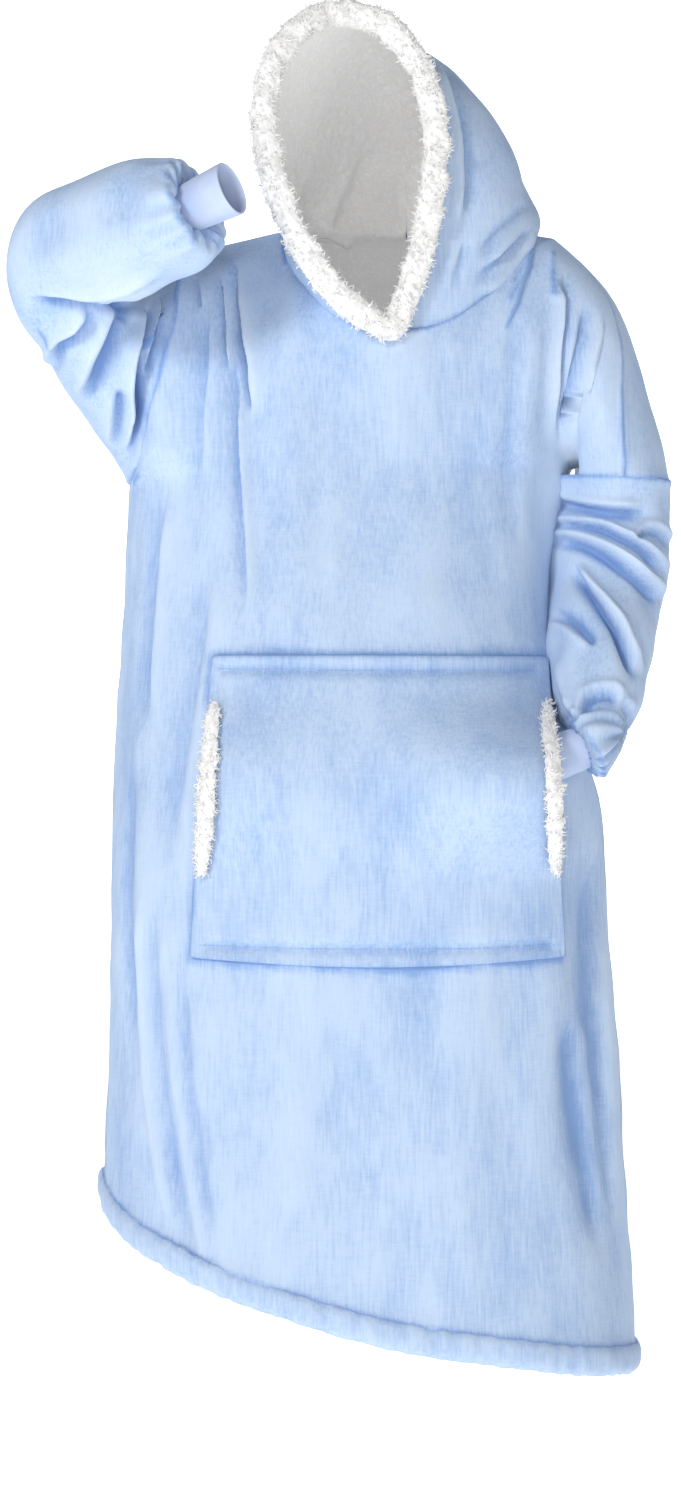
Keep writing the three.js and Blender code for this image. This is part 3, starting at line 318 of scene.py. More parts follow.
# the swelling of cloth at a seam and its width in mm, how much darker its colour is painted there, as painted
# shade in the seam's crease, and how wide that shade is
seamLook = {"press": 2.0, "edge": 6, "dark": 0.22, "shadeWide": 3}
# rims are edges sharper than angle in degrees, beside a face narrower than narrow mm; a corner is where a rim
# turns by more than turn, in radians
rimLook = {"angle": 52, "narrow": 6, "turn": 0.75}


def clothFrom(node, name, levels, crease=0.9, way=None):
    # a copy of the solid's mesh: doubles merged, triangles joined into quads, rims and corners held, then
    # subdivided; with way, the faces on the side of the wall that looks inwards get the second material
    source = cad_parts[node]
    mesh = source.data.copy()
    work = bmesh.new()
    work.from_mesh(mesh)
    bmesh.ops.remove_doubles(work, verts=work.verts, dist=2e-5)
    bmesh.ops.join_triangles(work, faces=work.faces, angle_face_threshold=0.75, angle_shape_threshold=1.2)
    held = work.edges.layers.float.new("crease_edge")
    corner = work.verts.layers.float.new("crease_vert")
    # only the edges of the wall's narrow faces are held, not sharp folds between wide ones
    sharp = [e for e in work.edges if e.calc_face_angle(0) > math.radians(rimLook["angle"])
             and min(f.calc_area() for f in e.link_faces) < rimLook["narrow"] * mm * e.calc_length()]
    for e in sharp:
        e[held] = crease
    rimEdges[name] = np.array([[list(v.co) for v in e.verts] for e in sharp]).reshape(-1, 2, 3) * 1000
    if way:
        for side in sidesOfWall(work, held):
            turned = sum(f.calc_area() * f.normal.dot(Vector(way(np.array([f.calc_center_median()]) * 1000)[0]))
                         for f in side)
            for f in side:
                f.material_index = int(turned < 0)
    for v in {v for e in sharp for v in e.verts}:
        rims = [e for e in v.link_edges if e[held]]
        if len(rims) == 2:
            bend = (rims[0].other_vert(v).co - v.co).angle(rims[1].other_vert(v).co - v.co)
        if len(rims) > 2 or len(rims) == 2 and 0.6 < bend < math.pi - rimLook["turn"]:
            v[corner] = crease
    work.to_mesh(mesh)
    work.free()
    rough = bpy.data.objects.new(name + "Rough", mesh)
    scene.collection.objects.link(rough)
    rounding = rough.modifiers.new("rounding", "SUBSURF")
    rounding.levels = rounding.render_levels = levels
    mesh = bpy.data.meshes.new_from_object(rough.evaluated_get(bpy.context.evaluated_depsgraph_get()))
    bpy.data.objects.remove(rough)
    mesh.name = name
    for gone in ("crease_edge", "crease_vert"):
        if gone in mesh.attributes:
            mesh.attributes.remove(mesh.attributes[gone])
    piece = bpy.data.objects.new(name, mesh)
    scene.collection.objects.link(piece)
    inner = np.zeros(len(mesh.polygons), np.int32)
    mesh.polygons.foreach_get("material_index", inner)
    mesh.materials.clear()
    mesh.polygons.foreach_set("material_index", inner)
    mesh.polygons.foreach_set("use_smooth", np.ones(len(mesh.polygons), bool))
    return piece


def sidesOfWall(work, held):
    # the wall's two large sides: faces joined by edges that aren't on a rim
    work.faces.index_update()
    left, sides = set(work.faces), []
    while left:
        side, todo = [], [left.pop()]
        while todo:
            face = todo.pop()
            side.append(face)
            near = {f for e in face.edges if not e[held] for f in e.link_faces} & left
            left -= near
            todo += near
        sides.append(side)
    return sorted(sides, key=len)[-2:]


def rimDistance(points, name, reach=20):
    # from each point to the nearest sharp edge of the piece, mm; 1e9 for points farther than reach
    far = np.full(len(points), 1e9)
    for a, b in rimEdges[name]:
        near = np.flatnonzero((np.abs(points - (a + b) / 2) < reach + np.abs(a - b) / 2).all(1))
        here = points[near] - a
        t = np.clip(here @ (b - a) / ((b - a) @ (b - a)), 0, 1)
        far[near] = np.minimum(far[near], np.linalg.norm(here - t[:, None] * (b - a), axis=1))
    return far


def seamed(points, normals, name):
    # at every rim the edge swells along the normals, press x exp(-(distance / edge) squared), so that
    # neighbours meet in a crease, and painted shade darkens the colour in that crease:
    # dark x exp(-(distance / shadeWide) squared)
    far = rimDistance(points, name)
    return (normals * (seamLook["press"] * np.exp(-(far / seamLook["edge"]) ** 2))[:, None],
            -seamLook["dark"] * np.exp(-(far / seamLook["shadeWide"]) ** 2))


def pointsOf(piece):
    # the piece's points in mm and its normals
    mesh = piece.data
    points, normals = np.zeros(len(mesh.vertices) * 3), np.zeros(len(mesh.vertices) * 3)
    mesh.vertices.foreach_get("co", points)
    mesh.vertex_normals.foreach_get("vector", normals)
    return points.reshape(-1, 3) * 1000, normals.reshape(-1, 3)


def place(piece, points, paintedShading=None):
    # moves the piece's points; the painted light and shade, which the materials read, lightens them where it is
    # above 0 and darkens them below it
    piece.data.vertices.foreach_set("co", (points * mm).ravel())
    piece.data.update()
    values = np.zeros(len(points)) if paintedShading is None else paintedShading
    shade = piece.data.attributes.new("paintedShading", "FLOAT", "POINT")
    shade.data.foreach_set("value", values.astype(np.float32))


def meshPiece(name, points, faces, material):
    mesh = bpy.data.meshes.new(name)
    mesh.from_pydata(points * mm, [], faces.tolist())
    mesh.polygons.foreach_set("use_smooth", np.ones(len(mesh.polygons), bool))
    piece = bpy.data.objects.new(name, mesh)
    scene.collection.objects.link(piece)
    mesh.materials.append(material)
    return piece


def cladding(piece, nodes, slot, *materials):
    # what every piece that stands for solids is told
    for material in materials:
        piece.data.materials.append(material)
    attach(piece, "root")
    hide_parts(*nodes)
    print(piece.name, "triangles", sum(len(p.vertices) - 2 for p in piece.data.polygons),
          "cloth m2", round(sum(p.area for p in piece.data.polygons) / 2, 4))
    return piece


def foldSum(points, out, folds, normals=None):
    # the creases seen from the front work where the cloth faces the front, the others where it faces back,
    # and none where it faces the side, since their lines are drawn in the front view
    toFront, toBack = ease((-0.02 - out[:, 1]) / 0.38), ease((out[:, 1] - 0.02) / 0.38)
    # the wall's inner side moves like the outer side before it: wall / |normal . out| further along out
    if normals is not None:
        facing = (normals * out).sum(1)
        points = points + out * (creaseLook["wall"] * (facing < -0.15) / np.clip(-facing, 0.35, 1))[:, None]
    height = np.zeros(len(points))
    for fold in folds:
        share = toFront if fold.get("side", "front") == "front" else toBack
        height += share * creaseHeight(points[:, [0, 2]], fold)
    return height


# body panels; lines are x and z in mm, depth and width in mm, roll is the fullness beside the crease
bodyLook = {"levels": (3, 2), "foldScale": 1.9, "wave": 2.2, "waveSize": 130, "ripple": 0.6, "rippleSize": 38,
            "pocketShade": 0.3, "pocketShadeWide": 7}
# where the side swells towards the hanging sleeve: middle, reach and height in mm
sideSwell = {"x": 194, "z": -250, "wide": 16, "tall": 65, "high": 23}
bodyFolds = [
    {"line": [(-181, 11), (-174, -6), (-166, -31), (-160, -63), (-157, -97), (-152, -133), (-156, -190)],
     "width": 9, "depth": 11, "roll": 0.7},
    {"line": [(-194, -9), (-187, -35), (-184, -63), (-183, -96), (-184, -140)],
     "width": 7, "depth": 5, "roll": 0.5},
    {"line": [(-174, -108), (-171, -145), (-169, -184), (-167, -240), (-162, -301), (-158, -367),
              (-160, -420)], "width": 8, "depth": 4.5, "roll": 0.7},
    {"line": [(-205, -60), (-207, -120), (-211, -200), (-214, -270)], "width": 10, "depth": 3, "roll": 0.6},
    {"line": [(-215, -20), (-210, -41), (-209, -60)], "width": 5, "depth": 4},
    {"line": [(203, -10), (202, -40), (200, -77), (197, -102), (194, -144), (190, -188), (186, -235)],
     "width": 7, "depth": 10, "roll": -0.55, "fadeOut": 0.4},
    {"line": [(229, -50), (226, -90), (219, -125), (210, -165), (201, -195), (195, -219)],
     "width": 7, "depth": 8, "roll": 0.6},
    {"line": [(246, -160), (230, -184), (212, -203), (198, -214)], "width": 11, "depth": -2, "roll": 0},
    {"line": [(150, -60), (146, -140), (143, -230), (142, -330)], "width": 16, "depth": 2.5, "roll": 0.5},
    {"line": [(-262, -700), (-260, -820), (-252, -930), (-238, -1030), (-218, -1110)],
     "width": 9, "depth": 4, "roll": -0.9},
    {"line": [(-229, -790), (-224, -900), (-212, -990), (-199, -1067), (-186, -1140)],
     "width": 9, "depth": 3.5, "roll": -0.9},
    {"line": [(-292, -560), (-292, -680), (-290, -790), (-283, -900)], "width": 12, "depth": 5, "roll": -0.5},
    {"line": [(236, -650), (234, -789), (240, -900), (248, -1011), (257, -1150)],
     "width": 15, "depth": 7, "roll": 0.7},
    {"line": [(206, -840), (212, -920), (226, -1010), (238, -1130)], "width": 15, "depth": 5, "roll": 0.7},
    {"line": [(262, -560), (266, -700), (268, -860)], "width": 11, "depth": 6, "roll": 0.6},
    {"line": [(-201, -345), (-209, -434), (-222, -523), (-234, -612), (-243, -701)],
     "width": 17, "depth": 3.5, "roll": 0.6},
    {"line": [(-250, -260), (-258, -340), (-266, -440), (-272, -540)], "width": 12, "depth": 4, "roll": 0.6},
    # the hidden side gets folds of the same kinds
    {"side": "back", "line": [(-196, 10), (-190, -60), (-186, -150), (-180, -260), (-176, -380)],
     "width": 11, "depth": 8, "roll": 0.7},
    {"side": "back", "line": [(-120, -40), (-118, -150), (-120, -300), (-126, -460)],
     "width": 15, "depth": 4, "roll": 0.6},
    {"side": "back", "line": [(180, 0), (182, -90), (178, -200), (172, -330), (170, -470)],
     "width": 10, "depth": 8, "roll": -0.6},
    {"side": "back", "line": [(226, -50), (222, -120), (208, -190), (194, -240)],
     "width": 8, "depth": 7, "roll": 0.6},
    {"side": "back", "line": [(40, -180), (36, -360), (38, -560), (30, -760)],
     "width": 20, "depth": 4, "roll": 0.6},
    {"side": "back", "line": [(-230, -520), (-238, -700), (-250, -880), (-262, -1040)],
     "width": 16, "depth": 7, "roll": 0.7},
    {"side": "back", "line": [(-80, -640), (-84, -800), (-92, -960), (-96, -1130)],
     "width": 18, "depth": 6, "roll": 0.7},
    {"side": "back", "line": [(110, -560), (118, -740), (128, -920), (136, -1120)],
     "width": 18, "depth": 6, "roll": -0.7},
    {"side": "back", "line": [(222, -600), (226, -780), (236, -960), (246, -1140)],
     "width": 15, "depth": 7, "roll": 0.7},
]


def bodyHeight(points, folds, normals=None):
    # folds, broad and narrow unevenness and the side's swelling, away from the middle of the body
    out = bodyDirections(points)
    calm = ease((15 - points[:, 2]) / 70)  # still at the shoulder and neck seams
    uneven = bodyLook["wave"] * unevenness(points * (1, 1, 0.45), bodyLook["waveSize"], 3)
    uneven += bodyLook["ripple"] * unevenness(points * (1, 1, 0.5), bodyLook["rippleSize"], 4)
    side = np.exp(-((points[:, 0] - sideSwell["x"]) / sideSwell["wide"]) ** 2
                  - ((points[:, 2] - sideSwell["z"]) / sideSwell["tall"]) ** 2)
    uneven += sideSwell["high"] * side
    return out, (bodyLook["foldScale"] * foldSum(points, out, folds, normals) + uneven) * calm


def bodyPanel(node, name, levels):
    piece = clothFrom(node, name, levels, way=bodyDirections)
    points, normals = pointsOf(piece)
    out, height = bodyHeight(points, bodyFolds, normals)
    swell, shade = seamed(points, normals, name)
    # the pocket's edge shades the cloth behind it
    near = rimDistance(points, "pocketCloth") / bodyLook["pocketShadeWide"]
    shade -= bodyLook["pocketShade"] * np.exp(-near ** 2)
    place(piece, points + out * height[:, None] + swell, creaseLook["shade"] * height + shade)
    return cladding(piece, [node], "plush_blue", flannel, lining)


# pocket: stitched in from its top and bottom edges, a little slack between; shaped further on, but its edges
# are needed now
pocketLook = {"levels": 3, "groove": 3.4, "grooveWide": 6.5, "slack": 1.2, "follow": 0.4}
pocket = clothFrom("pocket", "pocketCloth", pocketLook["levels"])
frontPanel = bodyPanel("front_panel", "frontPanelCloth", bodyLook["levels"][0])
backPanel = bodyPanel("back_panel", "backPanelCloth", bodyLook["levels"][1])
print("body panels made")

# sleeves: the middle of each as a path, and the creases over it
# calmFrom and calmOver: mm from the armhole where creases start and how softly, but full strength past
# fromBody; gathers: how many round the cuff, how deep, and how far up the sleeve
sleeveLook = {"levels": 3, "foldScale": 1.45, "wave": 2.0, "waveSize": 75, "gathers": 13, "gatherDepth": 5.5,
              "gatherReach": 85, "calmFrom": 4, "calmOver": 30, "fromBody": 165}
raisedMiddle = [(-264, 0, -124), (-297, -24, -117), (-325, -57, -97), (-346, -90, -63), (-361, -124, -32),
                (-348, -158, -3), (-319, -189, 9), (-282, -214, 18), (-239, -234, 29), (-212, -246, 37),
                (-180, -262, 47)]
hangingMiddle = [(262, 8, -250), (262, 8, -304), (258, -17, -375), (252, -60, -436), (244, -106, -492),
                 (234, -140, -533), (222, -156, -553), (196, -158, -562)]
# fuller places of the raised sleeve, where the crook closes under the forearm: middle, reach and height in mm
raisedFullness = [((-284, -206, -36), 46, 11), ((-288, -40, -48), 42, 9), ((-262, -150, -34), 40, 8)]
raisedFolds = [
    {"line": [(-276, -40), (-271, -68), (-272, -93), (-277, -124), (-279, -152), (-277, -177),
              (-281, -203), (-290, -230)], "width": 7, "depth": 15, "roll": -0.5},
    {"line": [(-256, -36), (-254, -67), (-257, -95), (-263, -120), (-269, -145)],
     "width": 6, "depth": 8, "roll": -0.5},
    {"line": [(-396, -58), (-358, -60), (-325, -61), (-292, -54), (-264, -47), (-234, -41)],
     "width": 7, "depth": 11, "roll": 0.5},
    {"line": [(-325, -65), (-334, -82), (-344, -94), (-362, -106), (-369, -117), (-371, -135)],
     "width": 8, "depth": 9, "roll": -0.7},
    {"line": [(-292, -55), (-301, -71), (-309, -98), (-319, -122), (-329, -143), (-342, -168)],
     "width": 9, "depth": 11, "roll": -0.7},
    {"line": [(-298, -150), (-302, -184), (-306, -207), (-308, -228)], "width": 8, "depth": 7, "roll": -0.6},
    {"line": [(-277, -180), (-285, -212), (-299, -240)], "width": 7, "depth": 6, "roll": 0.5},
    {"line": [(-288, -48), (-290, -60), (-291, -78)], "width": 4, "depth": 5},
    {"line": [(-390, -80), (-362, -84), (-340, -78)], "width": 12, "depth": -2, "roll": 0},
    {"side": "back", "line": [(-270, -40), (-276, -100), (-282, -160), (-292, -220)],
     "width": 10, "depth": 10, "roll": -0.6},
    {"side": "back", "line": [(-300, -40), (-318, -100), (-336, -150)],
     "width": 10, "depth": 9, "roll": -0.6},
    {"side": "back", "line": [(-330, 0), (-356, -40), (-376, -90)], "width": 11, "depth": 8, "roll": -0.6},
    {"side": "back", "line": [(-300, 60), (-340, 30), (-380, -10)], "width": 14, "depth": 5, "roll": -0.6},
]
# the hanging sleeve swells towards the body, where the two touch
hangingFullness = [((206, 0, -246), 30, 15), ((190, 0, -330), 60, 5), ((192, -30, -400), 60, 6),
                   ((194, -70, -460), 50, 6)]
hangingFolds = [
    {"line": [(188, -258), (197, -271), (214, -279), (242, -285), (276, -287), (300, -284)],
     "width": 8, "depth": 10, "roll": 0.6},
    {"line": [(186, -300), (216, -301), (242, -305), (264, -315), (287, -326), (306, -342), (324, -362)],
     "width": 6, "depth": 9, "roll": 0.55},
    {"line": [(184, -316), (216, -322), (245, -334), (267, -348), (290, -366), (309, -381), (320, -400)],
     "width": 8, "depth": 12, "roll": 0.6},
    {"line": [(278, -319), (296, -308), (312, -312), (328, -327)], "width": 7, "depth": 6, "roll": 0.5},
    {"line": [(213, -346), (224, -371), (243, -398), (256, -416), (267, -441), (275, -463), (284, -480)],
     "width": 7, "depth": 14, "roll": 0.6},
    {"line": [(188, -405), (207, -413), (220, -425), (235, -438)], "width": 8, "depth": 9, "roll": -0.5},
    {"line": [(215, -516), (224, -497), (241, -491), (253, -494), (260, -508)],
     "width": 7, "depth": 8, "roll": 0.5},
    {"line": [(187, -455), (190, -481), (195, -505), (203, -520), (218, -527)],
     "width": 6, "depth": 8, "roll": 0.5},
    {"line": [(262, -500), (275, -520), (270, -545)], "width": 7, "depth": 5, "roll": 0.5},
    {"side": "back", "line": [(200, -300), (240, -312), (285, -330), (318, -350)],
     "width": 9, "depth": 9, "roll": 0.6},
    {"side": "back", "line": [(200, -350), (236, -366), (276, -390), (306, -420)],
     "width": 10, "depth": 10, "roll": 0.6},
    {"side": "back", "line": [(205, -410), (232, -424), (262, -452), (282, -480)],
     "width": 9, "depth": 9, "roll": 0.6},
    {"side": "back", "line": [(210, -470), (234, -486), (256, -508)], "width": 8, "depth": 7, "roll": 0.6},
]


def sleeveCloth(node, name, middle, folds, fullness, seed):
    # creases and unevenness away from the sleeve's middle; small gathers where it is drawn into the cuff;
    # all of it dies out at the armhole, where the sleeve is sewn to the body
    piece = clothFrom(node, name, sleeveLook["levels"])
    points, normals = pointsOf(piece)
    path = np.array(middle, float)
    out = pathDirections(points, middle)
    fromBody = np.linalg.norm(points - path[0], axis=1)
    along = (points - path[0]) @ ((path[1] - path[0]) / np.linalg.norm(path[1] - path[0]))
    calm = ease((along - sleeveLook["calmFrom"]) / sleeveLook["calmOver"] + (fromBody > sleeveLook["fromBody"]))
    height = sleeveLook["foldScale"] * foldSum(points, out, folds, normals)
    height += sleeveLook["wave"] * unevenness(points, sleeveLook["waveSize"], seed)
    end, axis = path[-2], (path[-1] - path[-2]) / np.linalg.norm(path[-1] - path[-2])
    first = np.cross(axis, (0, 0, 1.0))
    first /= np.linalg.norm(first)
    second = np.cross(axis, first)
    turn = np.arctan2((points - end) @ second, (points - end) @ first)
    nearCuff = ease(1 - np.linalg.norm(points - end, axis=1) / sleeveLook["gatherReach"])
    phase = sleeveLook["gathers"] * turn + 2 * np.sin(3 * turn + seed)
    height += sleeveLook["gatherDepth"] * nearCuff * np.sin(phase)
    height = height * calm
    for seat, reach, high in fullness:
        height += high * np.exp(-((points - seat) ** 2).sum(1) / reach ** 2) * ease((along + 26) / 14)
    swell, shade = seamed(points, normals, name)
    place(piece, points + out * height[:, None] + swell, creaseLook["shade"] * height + shade)
    return cladding(piece, [node], "plush_blue", flannel)


rightSleeve = sleeveCloth("sleeve_right", "raisedSleeveCloth", raisedMiddle, raisedFolds, raisedFullness, 11)
leftSleeve = sleeveCloth("sleeve_left", "hangingSleeveCloth", hangingMiddle, hangingFolds, hangingFullness, 12)
print("sleeves made")

# hood
# tuck: how far the lining's foot goes down, foot: how far the shell's does, and how wide each of them is, in
# mm; clump: size and height of the lining's clumps of pile
hoodLook = {"levels": 3, "middle": (-5, -5, 120), "wave": 1.2, "waveSize": 80, "foldScale": 1.3, "tuck": 9,
            "tuckWide": 13, "foot": 3.5, "footWide": 8, "clump": (8.5, 3.2), "sunk": 0.8}
hoodFolds = [
    {"line": [(62, 232), (72, 200), (84, 160), (90, 120), (92, 80), (90, 50), (84, 20)],
     "width": 8, "depth": 6, "roll": -0.8},
    {"line": [(168, 40), (152, 14), (135, -6), (116, -26), (95, -39)], "width": 8, "depth": 8, "roll": 0.8},
    {"line": [(166, 66), (146, 41), (124, 15), (106, -11)], "width": 9, "depth": 6, "roll": 0.7},
    {"line": [(74, -48), (84, -15), (92, 19)], "width": 8, "depth": 4, "roll": 0.6},
    {"side": "back", "line": [(120, 40), (90, 90), (60, 150)], "width": 14, "depth": 7, "roll": 0.6},
    {"side": "back", "line": [(-70, 40), (-50, 90), (-30, 150)], "width": 14, "depth": 7, "roll": -0.6},
    {"side": "back", "line": [(20, 50), (16, 110)], "width": 14, "depth": 6, "roll": 0.6},
]


def neckCurve(count):
    # the neck seam: an oval round the neck that drops at the front, x and y as cosine and sine of the angle
    angle = np.arange(count) * 2 * math.pi / count
    across, along = np.cos(angle), np.sin(angle)
    front = np.maximum(-along, 0)
    high = 29.75 - 2.25 * across - 121 * front ** (1.4 + 0.12 * across) + 6 * np.maximum(along, 0)
    depth = -10 + np.where(along < 0, 112, 105) * along
    return np.stack([26.75 + 142.75 * across - 19 * front ** 2, depth, high], 1)


def neckDistance(points):
    # from each point to the neck seam, mm
    return np.min([np.linalg.norm(points - p, axis=1) for p in neckCurve(72)], axis=0)


def hoodDirections(points):
    # away from the hood's middle
    out = points - hoodLook["middle"]
    return out / np.linalg.norm(out, axis=1)[:, None]


def hoodShell(node, name):
    # creases and unevenness away from the hood's middle, still at the neck, where the foot goes down over the
    # seam
    piece = clothFrom(node, name, hoodLook["levels"])
    points, normals = pointsOf(piece)
    out = hoodDirections(points)
    height = foldSum(points, out, hoodFolds, normals)
    height += hoodLook["wave"] * unevenness(points, hoodLook["waveSize"], 21)
    height = hoodLook["foldScale"] * height * ease((points[:, 2] + 70) / 70)
    swell, shade = seamed(points, normals, name)
    swell[:, 2] -= hoodLook["foot"] * np.exp(-(neckDistance(points) / hoodLook["footWide"]) ** 2)
    place(piece, points + out * height[:, None] + swell, creaseLook["shade"] * height + shade)
    return cladding(piece, [node], "plush_blue", flannel)


def hoodLining(node, name):
    # clumps of pile stand into the hood; the lining follows the shell's creases, sunk a little from it, and
    # its foot is tucked down behind the neck seam
    piece = clothFrom(node, name, hoodLook["levels"])
    points, normals = pointsOf(piece)
    out = hoodDirections(points)
    inward = (normals * out).sum(1) < 0.1
    size, tall = hoodLook["clump"]
    height = curls(points, size, 31) * tall * inward
    follow = hoodLook["foldScale"] * foldSum(points, out, hoodFolds) * ease((points[:, 2] + 70) / 70)
    moved = points + out * (follow - height - hoodLook["sunk"])[:, None] + seamed(points, normals, name)[0]
    foot = np.exp(-(neckDistance(points) / hoodLook["tuckWide"]) ** 2)[:, None]
    moved -= foot * ((0, 0, 1) + 0.4 * bodyDirections(points)) * hoodLook["tuck"]
    # painted shade: the pile's colour is lighter on its clumps and darker between them
    place(piece, moved, 0.12 * (height - tall / 2))
    return cladding(piece, [node], "pile_white", lining)


hoodPieces = [hoodShell("hood_right", "hoodShellRight"), hoodShell("hood_left", "hoodShellLeft")]
liningPieces = [hoodLining("hood_lining_right", "hoodLiningRight"),
                hoodLining("hood_lining_left", "hoodLiningLeft")]
print("hood made")

# sherpa rolls: the hood's trim and the two pocket mouths
# sizes in mm; lockLean is how far a lock may lean, lockTurn the least and most it turns, in radians, and
# lockTaper how much thinner its end is
pileLook = {"levels": 3, "curlSize": 6.5, "curlHeight": 2.6, "swell": 1.2, "swellSize": 22, "lockLong": 6.5,
            "lockThick": 1.25, "lockTaper": 0.62, "lockCurl": 1.6, "lockLean": 0.28, "lockTurn": (3, 6),
            "lockSunk": 1.5, "lockSides": 4, "lockRings": 4, "hoodLocks": 2700, "pocketLocks": 420}


def tubeFaces(count, rings, sides=4):
    # the quads of count closed tubes with rings of four points: walls between the rings, and both ends
    k = np.arange(sides)
    after = (k + 1) % sides
    walls = np.concatenate([np.stack([r * sides + k, r * sides + after, (r + 1) * sides + after,
                                      (r + 1) * sides + k], 1) for r in range(rings - 1)])
    ends = [k[::-1], (rings - 1) * sides + k]
    return (np.vstack([walls, ends])[None] + np.arange(count)[:, None, None] * rings * sides).reshape(-1, 4)


def locks(points, triangles, count, seed):
    # short curled locks of pile: a tapering tube that leaves the surface along its normal while it turns
    # round it
    draw = np.random.default_rng(seed)
    a, b, c = (points[triangles[:, k]] for k in range(3))
    across = np.cross(b - a, c - a)
    size = np.linalg.norm(across, axis=1)
    pick = draw.choice(len(size), count, p=size / size.sum())
    u, v = draw.random((2, count, 1))
    u, v = np.where(u + v > 1, 1 - u, u), np.where(u + v > 1, 1 - v, v)
    foot = a[pick] + u * (b[pick] - a[pick]) + v * (c[pick] - a[pick])
    up = across[pick] / size[pick][:, None]
    up = up + draw.normal(0, pileLook["lockLean"], up.shape)
    up /= np.linalg.norm(up, axis=1)[:, None]
    right = np.cross(up, draw.normal(size=up.shape))
    right /= np.linalg.norm(right, axis=1)[:, None]
    ahead = np.cross(up, right)
    rings, sides = pileLook["lockRings"], pileLook["lockSides"]
    s = np.linspace(0, 1, rings)[None, :, None]
    spin = draw.uniform(0, 2 * math.pi, (count, 1, 1)) + s * draw.uniform(*pileLook["lockTurn"], (count, 1, 1))
    high = pileLook["lockLong"] * draw.uniform(0.5, 1.15, (count, 1, 1))
    bend = pileLook["lockCurl"] * (0.3 + s) * draw.uniform(0.6, 1.3, (count, 1, 1))
    middle = foot[:, None] + up[:, None] * (s * high - pileLook["lockSunk"])
    middle = middle + right[:, None] * bend * np.cos(spin) + ahead[:, None] * bend * np.sin(spin)
    thick = pileLook["lockThick"] * (1 - pileLook["lockTaper"] * s) * draw.uniform(0.8, 1.2, (count, 1, 1))
    turn = np.arange(sides) * 2 * math.pi / sides
    cosine, sine = np.cos(turn)[None, None, :, None], np.sin(turn)[None, None, :, None]
    ring = right[:, None, None] * cosine + ahead[:, None, None] * sine
    tube = middle[:, :, None] + ring * thick[:, :, None]
    return tube.reshape(-1, 3), tubeFaces(count, rings)


def trianglesOf(piece):
    # three point numbers for each triangle of the piece
    piece.data.calc_loop_triangles()
    t = np.zeros(len(piece.data.loop_triangles) * 3, np.int32)
    piece.data.loop_triangles.foreach_get("vertices", t)
    return t.reshape(-1, 3)


def pileRoll(node, name, count, seed):
    # the roll's surface swells into curls, and loose locks stand out of it
    piece = clothFrom(node, name, pileLook["levels"])
    points, normals = pointsOf(piece)
    lump = curls(points, pileLook["curlSize"], seed)
    height = (pileLook["curlHeight"] * (lump - 0.3)
              + pileLook["swell"] * unevenness(points, pileLook["swellSize"], seed + 1))
    points = points + normals * height[:, None]
    # painted shade: the roll's colour is darker between the curls and lighter on their tops
    place(piece, points, 0.2 * (lump - 0.5))
    tufts, faces = locks(points, trianglesOf(piece), count, seed + 2)
    loose = meshPiece(name + "Locks", tufts, faces, sherpa)
    shade = loose.data.attributes.new("paintedShading", "FLOAT", "POINT")
    # painted light and shade: each lock's colour is lighter towards its tip and darker at its foot
    tall = np.tile(np.repeat(np.linspace(0, 0.35, pileLook["lockRings"]), pileLook["lockSides"]), count)
    shade.data.foreach_set("value", tall.astype(np.float32))
    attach(loose, "root")
    return cladding(piece, [node], "pile_white", sherpa)


hoodTrim = pileRoll("hood_trim", "hoodTrimRoll", pileLook["hoodLocks"], 41)
pocketRolls = [pileRoll("pocket_trim_right", "pocketTrimRight", pileLook["pocketLocks"], 51),
               pileRoll("pocket_trim_left", "pocketTrimLeft", pileLook["pocketLocks"], 61)]
print("pile rolls made")

# the pocket's shape: its stitched lines, top and bottom, as x and z
pocketLines = [[(-188, -466), (-100, -468), (0, -469), (100, -469), (175, -467)],
               [(-208, -772), (-100, -775), (0, -776), (100, -775), (190, -772)]]


def pocketHeight(points):
    # a share of the body's unevenness, a groove along each stitched line, and slack in the middle
    height = bodyHeight(points, [])[1] * pocketLook["follow"]
    for line in pocketLines:
        height += creaseHeight(points[:, [0, 2]], {"line": line, "width": pocketLook["grooveWide"],
                                                   "depth": pocketLook["groove"], "roll": 0.0, "fadeIn": 0.02,
                                                   "fadeOut": 0.02})
    middle = np.clip(1 - ((points[:, 0] + 8) / 200) ** 2, 0, 1)
    middle = middle * np.clip(1 - ((points[:, 2] + 620) / 150) ** 2, 0, 1)
    return height + pocketLook["slack"] * middle * unevenness(points * (1, 0, 0.6), 90, 81)


pocketPoints, pocketNormals = pointsOf(pocket)
pocketOut = bodyDirections(pocketPoints)
pocketRelief = pocketHeight(pocketPoints)
pocketSwell, pocketShade = seamed(pocketPoints, pocketNormals, "pocketCloth")
# painted shade: the pocket's colour is darker in its grooves and at its rims and lighter where the cloth
# swells; the whole pocket is also a little deeper in tone
place(pocket, pocketPoints + pocketOut * pocketRelief[:, None] + 0.5 * pocketSwell,
      0.03 * pocketRelief + 0.5 * pocketShade - 0.02)
cladding(pocket, ["pocket"], "plush_blue", flannel)

# cuffs
cuffLook = {"levels": 2, "rim": 0.35}


def cuffCloth(node, name):
    # the cuff as it is, its rims a little rounded
    piece = clothFrom(node, name, cuffLook["levels"], crease=cuffLook["rim"])
    place(piece, pointsOf(piece)[0])
    return cladding(piece, [node], "knit_blue", jersey)


cuffPieces = [cuffCloth("cuff_right", "raisedCuffJersey"), cuffCloth("cuff_left", "hangingCuffJersey")]

